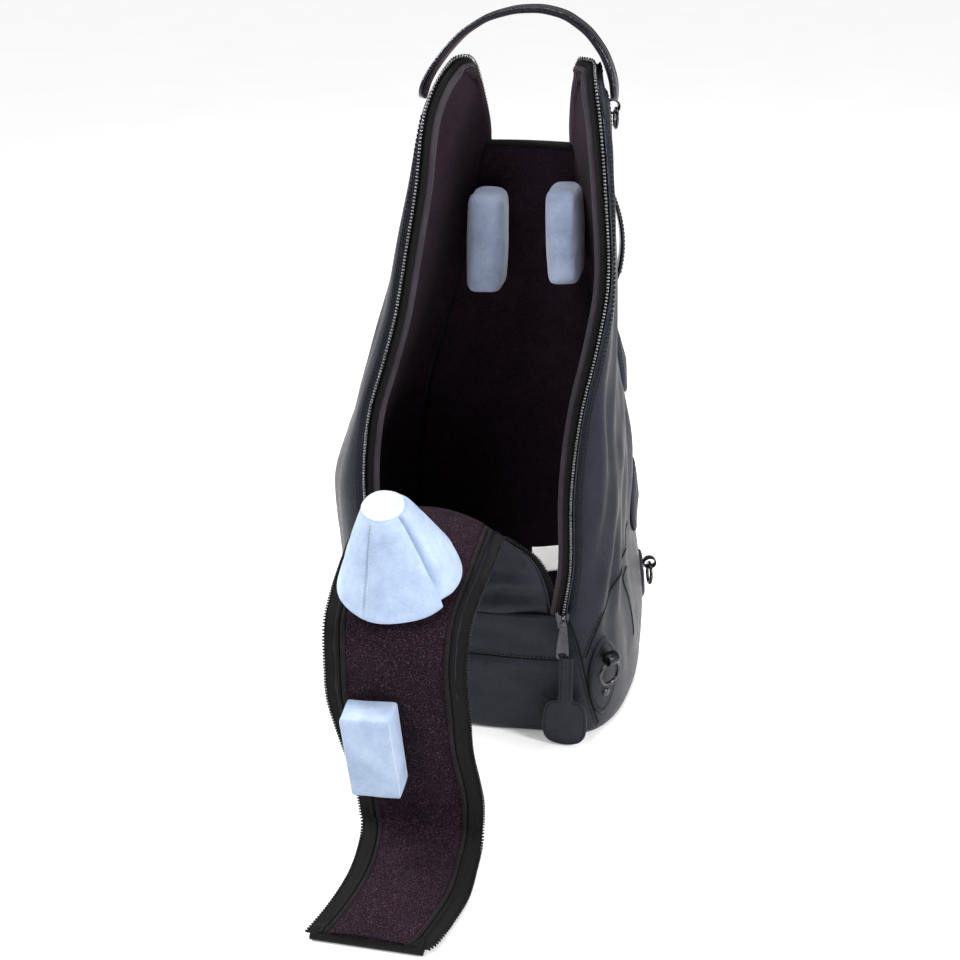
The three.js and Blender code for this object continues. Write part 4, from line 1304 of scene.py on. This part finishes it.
# ------------------------------------------------------------------ top handle
HANDLE = {"y": -8, "z": 664, "width": 27}
HANDLE_LINE = [(-82.8, -13), (-81.2, -2), (-73.5, 12), (-59.5, 30), (-43, 47), (-20, 61), (6, 68), (30, 69),
               (52, 64),
               (73, 50), (88, 31), (96, 12), (98.5, 0), (98.5, -10)]
line = np.array([(x, HANDLE["y"], HANDLE["z"] + z) for x, z in HANDLE_LINE], float)
line = smooth_path(resample(line, 2.6), 10)
out = unit(np.cross(tangents(line), [0, 1.0, 0]))
out = out * np.sign(np.sum(out * (line - [10, HANDLE["y"], HANDLE["z"] - 60]), 1))[:, None]
wide = np.tile([0.0, 1.0, 0.0], (len(line), 1))
run = np.concatenate([[0], np.cumsum(np.linalg.norm(np.diff(line, axis=0), axis=1))])
to_end = np.minimum(run, run[-1] - run)
narrow = np.sqrt(np.clip(1 - ((HANDLE["width"] / 2 - to_end).clip(0) / (HANDLE["width"] / 2)) ** 2, 0.05,
                         1))


def handle_layer(name, profile, material, slot, replaces=()):
    profile = np.asarray(profile, float)
    rings = []
    for p, n, w, k in zip(line, out, wide, narrow):
        rings.append([p + w * a * k + n * b for a, b in profile])
    rings = np.array(rings)
    points, faces = closed_loft(rings)
    make(name, points, faces, material, "top_handle", slot, replaces, grid_uv(rings))


half = HANDLE["width"] / 2
strap = [(-half, -1.2), (-half - 0.6, 0.6), (-half + 0.2, 2.9), (-half + 2.0, 3.4), (-half + 3.4, 2.4),
         (-half + 4.6, 2.2),
         (-half + 5.8, 3.0), (-5, 3.3), (0, 3.6), (5, 3.3), (half - 5.8, 3.0), (half - 4.6, 2.2),
         (half - 3.4, 2.4),
         (half - 2.0, 3.4), (half - 0.2, 2.9), (half + 0.6, 0.6), (half, -1.2)]
handle_layer("handle_strap", strap, GLOSS, "leather", ["top_handle"])
underside = [(-half + 0.2, -1.1), (half - 0.2, -1.1), (half - 0.6, -2.3), (half - 4, -2.9),
             (-half + 4, -2.9), (-half + 0.6, -2.3)]
handle_layer("handle_underside", underside, NAP, "velour")
threads = Solids()
for side in (-1, 1):
    offset = side * (half - 4.6)
    stitch_line(threads, line[3:-3] + wide[3:-3] * offset + out[3:-3] * 2.4, out[3:-3], 4.2, 2.9, 0.45)
threads.make("handle_stitches", THREAD, "top_handle", "leather")


# ------------------------------------------------------------------ patches, loops and rings on the walls
def wall_patch(name, side, u, z, outline, lift, dome, material, replaces, rings=7, slot="leather"):
    """A leather patch sewn on a wall: outline is (along the wall, up) from its middle."""
    outline = np.asarray(outline, float)
    scale = np.linalg.norm(wall_point(side, u + 0.02, z)[0] - wall_point(side, u - 0.02, z)[0]) / 0.04
    layers = []
    for share, height in [(1.02, -1.5), (1.02, lift * 0.35), (0.985, lift * 0.75), (0.94, lift)] + [
        (0.86 * (1 - t) + 0.03, lift + dome * t**0.7) for t in np.linspace(0, 1, rings)
    ]:
        ring = []
        for a, b in outline * share:
            point, out_dir, _ = wall_point(side, u + a / scale, z + b)
            ring.append(point + out_dir * height)
        layers.append(ring)
    points, faces = closed_loft(layers)
    make(name, points, faces, material, "bag", slot, replaces)
    threads = Solids()
    rim = [wall_point(side, u + a / scale, z + b) for a, b in outline * 0.88]
    stitch_line(threads, [p + n * (lift + 0.2) for p, n, _ in rim] + [rim[0][0] + rim[0][1] * (lift + 0.2)],
                [n for _, n, _ in rim] + [rim[0][1]], 3.8, 2.6, 0.36)
    threads.make(f"{name}_stitches", THREAD, "bag", "leather")


def leaf(width, height, power=1.7, count=48):
    """A patch outline that comes to a soft point at its top and bottom."""
    turn = np.arange(count) * 2 * math.pi / count
    v = np.sin(turn)
    return np.stack([np.sign(np.cos(turn)) * width / 2 * (1 - np.abs(v) ** power) ** 0.75, v * height / 2],
                    1)


def tablet(width, height, power=4.0, count=48):
    """A rounded rectangle."""
    turn = np.arange(count) * 2 * math.pi / count
    c, s = np.cos(turn), np.sin(turn)
    return np.stack([np.sign(c) * np.abs(c) ** (2 / power) * width / 2,
                     np.sign(s) * np.abs(s) ** (2 / power) * height / 2], 1)


LOOP_RADIUS, LOOP_OFF = 6.0, 12.3


def ring_frame(side, u, z):
    point, out_dir, _ = wall_point(side, u, z)
    across_dir = np.cross([0, 0, 1.0], out_dir)
    return point, out_dir, unit(across_dir)


def leather_loop(name, side, u, z, width, node):
    """A strap bent round into a loop that stands on its patch."""
    point, out_dir, across_dir = ring_frame(side, u, z)
    centre = point + out_dir * (LOOP_OFF - 0.6)
    turn = np.arange(36) * 2 * math.pi / 36
    rings = []
    for a in turn:
        radial = out_dir * math.cos(a) + np.array([0, 0, 1.0]) * math.sin(a)
        squeeze = 1.0 + 0.12 * math.cos(a) ** 2
        rings.append([centre + radial * (LOOP_RADIUS * squeeze + b) + across_dir * c
                      for c, b in rounded([(-width / 2, -0.9), (-width / 2, 1.2), (width / 2, 1.2),
                                           (width / 2, -0.9)], 2)])
    rings = np.array(rings)
    points = rings.reshape(-1, 3)
    make(name, points, outward(points, ring_faces(*rings.shape[:2])), GLOSS, "bag", "leather", [node])


def metal_ring(name, node, body, radius, wire):
    """A smooth ring where the CAD's ring hangs."""
    low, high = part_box(node)
    centre = (np.array(low) + np.array(high)) / 2 / MM
    cad = np.array([v.co[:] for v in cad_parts[node].data.vertices]) / MM - centre
    _, _, axes = np.linalg.svd(cad - cad.mean(0))
    first, second, axle = axes
    turn = np.arange(64) * 2 * math.pi / 64
    small = np.arange(14) * 2 * math.pi / 14
    points = []
    for a in turn:
        radial = first * math.cos(a) + second * math.sin(a)
        points += [centre + radial * (radius + wire * math.cos(b)) + axle * wire * math.sin(b)
                   for b in small]
    faces = outward(points, ring_faces(len(turn), len(small)))
    make(name, points, faces, GUNMETAL, body, "gunmetal", [node])


RINGS = [  # name, side, u, patch height, patch outline, loop height, loop width, ring radius
    ("side", "right", 0.205, 73, leaf(38, 96, 2.3), 100, 14, 13),
    ("rear_right", "right", 0.72, 118, leaf(30, 62, 2.4), 132, 9, 12),
    ("rear_left", "left", 0.72, 118, leaf(30, 58, 2.4), 132, 9, 12),
    ("upper", "right", 0.55, 634, tablet(18, 40), 644, 8, 9),
]
for name, side, u, z, outline, loop_z, loop_width, radius in RINGS:
    wall_patch(f"{name}_ring_patch", side, u, z, outline, 3.2, 0.6, LEATHER, [f"{name}_patch"])
    leather_loop(f"{name}_ring_loop", side, u, loop_z, loop_width, f"{name}_loop")
    metal_ring(f"{name}_strap_ring", f"{name}_ring", f"{name}_ring", radius, 1.9 if radius > 10 else 1.5)


def dome_rivet(name, side, u, z, radius, lift):
    """A domed rivet on a patch."""
    point, out_dir, across_dir = ring_frame(side, u, z)
    up = np.array([0, 0, 1.0])
    rings = []
    for r, h in ((1.0, -1), (1.0, 0.5), (0.93, 1.1), (0.75, 1.6), (0.5, 1.95), (0.2, 2.1), (0.04, 2.12)):
        turn = np.arange(28) * 2 * math.pi / 28
        rings.append([
            point + out_dir * (lift + h) + (across_dir * math.cos(a) + up * math.sin(a)) * radius * r
            for a in turn
        ])
    make(name, *closed_loft(rings), GUNMETAL, "bag", "gunmetal")


dome_rivet("side_patch_rivet", "right", 0.215, 53, 4.6, 3.8)
for side in SIDES:
    wall_patch(f"{side}_handle_patch", side, 0.42, 646, tablet(27, 38), 1.5, 0.2, LEATHER,
               [f"handle_anchor_{side}"])


# ------------------------------------------------------------------ side grab handle and keepers
GRAB = {"low": 468, "high": 572, "u": 0.6, "off": 6, "bow": 12, "width": 20}
low_point, grab_out, _ = wall_point("right", GRAB["u"], GRAB["low"])
high_point, _, _ = wall_point("right", GRAB["u"], GRAB["high"])
t = np.linspace(0, 1, 46)
swell = np.sin(np.pi * t)
start, end = low_point + grab_out * GRAB["off"], high_point + grab_out * GRAB["off"]
line = start + (end - start) * t[:, None] + grab_out * (GRAB["bow"] * swell**0.8)[:, None]
across_dir = np.array([-grab_out[1], grab_out[0], 0])
normals = unit(np.cross(tangents(line), np.tile(across_dir, (46, 1))))
normals = normals * np.sign(normals @ grab_out)[:, None]
reach = (8 + (GRAB["width"] - 8) * np.minimum(1, 2.5 * swell)) / 20
rings = [[p + across_dir * a * k + n * b for a,
          b in rounded([(-10, -1.6), (-10, 1.2), (-7, 2.2), (0, 2.7), (7, 2.2), (10, 1.2), (10, -1.6)], 1)]
         for p, n, k in zip(line, normals, reach)]
make("grab_handle", *closed_loft(rings), GLOSS, "side_handle", "leather", ["side_handle"])
threads = Solids()
for side in (-1, 1):
    stitch_line(threads, line[6:-6] + across_dir * side * 7.4 + normals[6:-6] * 2.2, normals[6:-6], 4.0,
                2.8, 0.42)
threads.make("grab_handle_stitches", THREAD, "side_handle", "leather")
wall_patch("grab_upper_anchor", "right", 0.6, 592, tablet(22, 34), 3.4, 1.6, GLOSS,
           ["side_handle_upper_anchor"])
wall_patch("grab_lower_anchor", "right", 0.6, 448, tablet(22, 34), 3.4, 1.6, GLOSS,
           ["side_handle_lower_anchor"])
wall_patch("upper_keeper", "right", 0.6, 388, leaf(26, 74, 3.0), 3.4, 4.2, LEATHER, ["upper_strap_keeper"])
wall_patch("lower_keeper", "right", 0.6, 232, leaf(26, 88, 3.0), 3.4, 5.4, LEATHER, ["lower_strap_keeper"])


# ------------------------------------------------------------------ zip sliders, pulls and tags
def plate(name, outline, thickness, place, material, body, replaces, hole=None, bevel=0.6):
    """A flat part with bevelled edges that faces the front: outline is (x, z) from place."""
    outline = [np.array(p, float) for p in outline]
    mesh = bpy.data.meshes.new(name)
    bm = bmesh.new()
    loops = [outline] + ([hole] if hole is not None else [])
    edges_all = []
    for loop in loops:
        verts = [bm.verts.new(((place[0] + p[0]) * MM, (place[1] + thickness / 2) * MM,
                               (place[2] + p[1]) * MM)) for p in loop]
        edges_all += [bm.edges.new((a, b)) for a, b in zip(verts, verts[1:] + verts[:1])]
    filled = bmesh.ops.triangle_fill(bm, use_beauty=True, use_dissolve=False, edges=edges_all)
    faces = [g for g in filled["geom"] if isinstance(g, bmesh.types.BMFace)]
    extruded = bmesh.ops.extrude_face_region(bm, geom=faces)
    moved = [g for g in extruded["geom"] if isinstance(g, bmesh.types.BMVert)]
    bmesh.ops.translate(bm, verts=moved, vec=(0, -thickness * MM, 0))
    bmesh.ops.recalc_face_normals(bm, faces=bm.faces)
    bmesh.ops.dissolve_limit(bm, angle_limit=0.02, verts=bm.verts, edges=bm.edges)
    bm.to_mesh(mesh)
    bm.free()
    mesh.materials.append(material)
    piece = bpy.data.objects.new(name, mesh)
    scene.collection.objects.link(piece)
    rim = piece.modifiers.new("rim", "BEVEL")
    rim.width = bevel * MM
    rim.segments = 3
    rim.limit_method = "ANGLE"
    rim.angle_limit = math.radians(50)
    rim.harden_normals = True
    mesh.shade_smooth()
    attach(piece, body)
    if replaces:
        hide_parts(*replaces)


def arc(cx, cz, rx, rz, start, end, count):
    return [(cx + rx * math.cos(math.radians(a)), cz + rz * math.sin(math.radians(a)))
            for a in np.linspace(start, end, count)]


PADDLE = [(-50.4, 9.0), (-50.8, 13.0), (-52.6, 17.2), (-56.5, 20.4), (-63, 22.4), (-72, 23.6), (-82, 24.0),
          (-91, 23.2), (-98, 20.8),
          (-103.0, 16.0), (-105.6, 9.0), (-106.3, 2.6)]  # (height, half width) of the tag's lower part


def paddle_side(sign):
    """One edge of the tag's paddle from its shoulder down to its lowest point."""
    curve = smooth_path(resample(np.array([(sign * w, h, 0) for h, w in PADDLE], float), 2.2), 1)
    return [(p[0], p[1]) for p in curve]


SLIDERS = {"left": (-132.0, 0.0, -5.0), "right": (77.0, 2.0, 6.5)}  # x, and shifts of pull and tag
SLIDER_Y, PLATE_OFFSET = -104.5, 2.2
PULL_Y, PULL_Z = -111.0, 148.5
TAG_Y, TAG_DROP, TAG_THREAD_Y = -113.2, 40.5, -114.75
for side, (x, pull_shift, tag_shift) in SLIDERS.items():
    body = f"{side}_zip_slider"
    wings = [(-7.5, 8.2), (-5.6, 9.6), (-2.4, 6.6), (0, 5.9), (2.4, 6.6), (5.6, 9.6), (7.5, 8.2), (6.4, 2),
             (4.8, -4), (4.4, -9.2),
             (-4.4, -9.2), (-4.8, -4), (-6.4, 2)]
    for part, offset in (("front", -PLATE_OFFSET), ("back", PLATE_OFFSET)):
        plate(f"{side}_slider_{part}",
              wings if part == "front" else [(a * 0.72, b * 0.8) for a, b in wings], 1.7,
              (x, SLIDER_Y + offset, FLAP_ROOT), GUNMETAL, body,
              [f"{side}_zip_slider"] if part == "front" else [], bevel=0.45)
    post = circle(1.6, 16)
    rings = [[(x + a, SLIDER_Y + d, 153.5 + b) for a, b in post] for d in (-PLATE_OFFSET, PLATE_OFFSET)]
    make(f"{side}_slider_post", *closed_loft(rings), GUNMETAL, body, "gunmetal")
    crown = np.array([
        (x + pull_shift, y, z)
        for y, z in ((-107.4, 157.2), (-110.0, 156.6), (-112.6, 153.8), (-113.2, 150.0),
                     (-112.4, 146.4), (-110.0, 144.2), (-107.4, 143.6))
    ])
    crown = smooth_path(resample(crown, 1.0), 2)
    rings = swept(crown, np.tile([1.0, 0, 0], (len(crown), 1)),
                  unit(np.cross(tangents(crown), [1.0, 0, 0])),
                  rounded([(-2.3, -0.8), (2.3, -0.8), (2.3, 0.8), (-2.3, 0.8)], 1))
    make(f"{side}_slider_crown", *closed_loft(rings), GUNMETAL, body, "gunmetal")

    bar = [(-3.4, 0.8), (-2.4, 1.9), (2.4, 1.9), (3.4, 0.8), (4.6, -12), (6.4, -28), (6.6, -38)]
    bar += arc(0, -38, 6.6, 5.4, 0, -180, 14)[1:-1] + [(-6.6, -38), (-6.4, -28), (-4.6, -12)]
    eye = arc(0, -37, 4.5, 2.9, 0, 360, 21)[:-1]
    plate(f"{side}_pull_bar", bar, 1.9, (x + pull_shift, PULL_Y, PULL_Z), GUNMETAL, f"{side}_zip_pull",
          [f"{side}_zip_pull"], eye, 0.5)

    tx, tz = x + tag_shift, PULL_Z - TAG_DROP
    neck = 7.6
    paddle = [(-neck, 2), (neck, 2), (neck, -46)] + paddle_side(1) + paddle_side(-1)[::-1] + [(-neck, -46)]
    plate(f"{side}_tag_leather", paddle, 2.8, (tx, TAG_Y, tz), LEATHER, f"{side}_zip_tag",
          [f"{side}_zip_tag"], None, 1.0)
    threads = Solids()
    rim = np.array(paddle_side(1) + paddle_side(-1)[::-1])
    rim = np.array([0, -78]) + (rim - [0, -78]) * [0.885, 0.905]
    rim = np.column_stack([tx + rim[:, 0], np.full(len(rim), TAG_THREAD_Y), tz + rim[:, 1]])
    stitch_line(threads, rim, np.tile([0, -1.0, 0], (len(rim), 1)), 3.4, 2.3, 0.36)
    for edge in (-1, 1):
        ends = np.array([(tx + edge * 4.6, TAG_THREAD_Y, tz + b) for b in np.linspace(0, -50, 12)])
        stitch_line(threads, ends, np.tile([0, -1.0, 0], (12, 1)), 3.4, 2.3, 0.34)
    threads.make(f"{side}_tag_stitches", THREAD, f"{side}_zip_tag", "leather")


# ------------------------------------------------------------------ pads, cushion and label inside
def stuffed(name, centre, half_sizes, tilt, material, node, cap):
    """A pad blown up by a short cloth simulation from a slightly smaller block."""
    points, faces = rounded_box(np.array(half_sizes, float) * 0.9, 20, min(half_sizes) * 0.5, 0.0)
    turn = np.array([[math.cos(tilt), 0, -math.sin(tilt)], [0, 1, 0], [math.sin(tilt), 0, math.cos(tilt)]])
    lumps = np.array([wobble(*(p + 11), 21, 4.2) for p in points])
    points = points * (1 + 0.03 * lumps)[:, None]
    piece = make(name, points @ turn + centre, outward(points, faces), material)
    remesh = piece.modifiers.new("remesh", "REMESH")
    remesh.mode = "VOXEL"
    remesh.voxel_size = 0.0042
    apply_modifiers(piece)
    rest = np.array([v.co[:] for v in piece.data.vertices])
    cloth = piece.modifiers.new("cloth", "CLOTH")
    cloth.settings.use_pressure = True
    cloth.settings.uniform_pressure_force = 4.0
    cloth.settings.effector_weights.gravity = 0
    cloth.settings.bending_stiffness = 0.3
    for step in range(1, 21):
        scene.frame_set(step)
    apply_modifiers(piece)
    scene.frame_set(1)
    moved = np.array([v.co[:] for v in piece.data.vertices])
    shift = moved - rest
    length = np.linalg.norm(shift, axis=1, keepdims=True)
    shift *= np.minimum(1, cap * MM / np.maximum(length, 1e-9))
    piece.data.vertices.foreach_set("co", (rest + shift).ravel())
    finer = piece.modifiers.new("finer", "SUBSURF")
    finer.levels = finer.render_levels = 1
    piece.data.shade_smooth()
    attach(piece, "bag")
    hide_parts(node)


def apply_modifiers(piece):
    graph = bpy.context.evaluated_depsgraph_get()
    mesh = bpy.data.meshes.new_from_object(piece.evaluated_get(graph))
    piece.modifiers.clear()
    piece.data = mesh


stuffed("left_pad", (-28, 34, 506), (20, 28, 57), 0.02, SATIN, "left_suspension_pad", 7)
stuffed("right_pad", (53, 20, 520), (18, 29, 53), -0.05, SATIN, "right_suspension_pad", 7)

cushion_low, cushion_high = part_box("bottom_cushion")
cushion_ring = np.concatenate([
    side_points("right", np.array([-98.0, 40]), np.array([97.0, 40]), np.linspace(0, 1, 30)),
    side_points("left", np.array([-98.0, 40]), np.array([97.0, 40]), np.linspace(1, 0, 30)),
])
cushion_middle = np.array([(cushion_low[0] + cushion_high[0]) / 2,
                           (cushion_low[1] + cushion_high[1]) / 2]) / MM
layers = []
for share, height in ((0.80, 10.4), (0.86, 12), (0.885, 17), (0.885, 26), (0.86, 32), (0.80, 35.5),
                      (0.6, 38.5), (0.4, 39.5), (0.2, 40), (0.02, 40)):
    flat = (cushion_ring[:, :2] - cushion_middle) * share + cushion_middle
    layers.append([(a, b, height + wobble(a, b, height, 45, 2.5) * (1.4 if height > 30 else 0)) for a,
                   b in flat])
floor_cushion = make("floor_cushion", *closed_loft(layers), LINING, "bag", "velour", ["bottom_cushion"])

u = np.linspace(-1, 1, 22)
v = np.linspace(-1, 1, 14)
label_tilt, label_turn = -0.5, 0.2
label = np.array([[(a * 20, 0.9 * math.sin(a * 2.4) + 0.7 * b * b, b * 13 + 1.0 * math.sin(2 * a))
                   for a in u] for b in v])
cx, sx, cz, sz = math.cos(label_tilt), math.sin(label_tilt), math.cos(label_turn), math.sin(label_turn)
label = (
    label
    @ np.array([[1, 0, 0], [0, cx, sx], [0, -sx, cx]])
    @ np.array([[cz, sz, 0], [-sz, cz, 0], [0, 0, 1]])
)
label = label + [56, -46, 188]
# The label glows in its own pale colour: a painted glow.
cloth_label = sheet_piece("sewn_label", label, label + [0, 0.35, 0.2], LABEL_PAINTED_GLOW, "label", ["care_label"])

# ------------------------------------------------------------------ floor
floor_shader = Shader("pale_floor", roughness=0.85, Specular_IOR_Level=0.2, Emission_Strength=0.22)
floor_shader.bsdf.inputs["Emission Color"].default_value = (1, 1, 1, 1)
floor_shader.color(floor_shader.ramp(floor_shader.noise(3, 2),
                                     [(0.3, (0.90, 0.90, 0.90)), (0.7, (0.92, 0.92, 0.92))]))
FLOOR_HALF = 60000
floor_corners = [(a * FLOOR_HALF, b * FLOOR_HALF, 0) for a, b in ((-1, -1), (1, -1), (1, 1), (-1, 1))]
floor = make("floor", floor_corners, [(0, 1, 2, 3)],
             floor_shader.material, smooth=False)
floor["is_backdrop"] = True

low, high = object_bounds()
{"cad": [list(cad_low), list(cad_high)], "visual": [list(low), list(high)]}
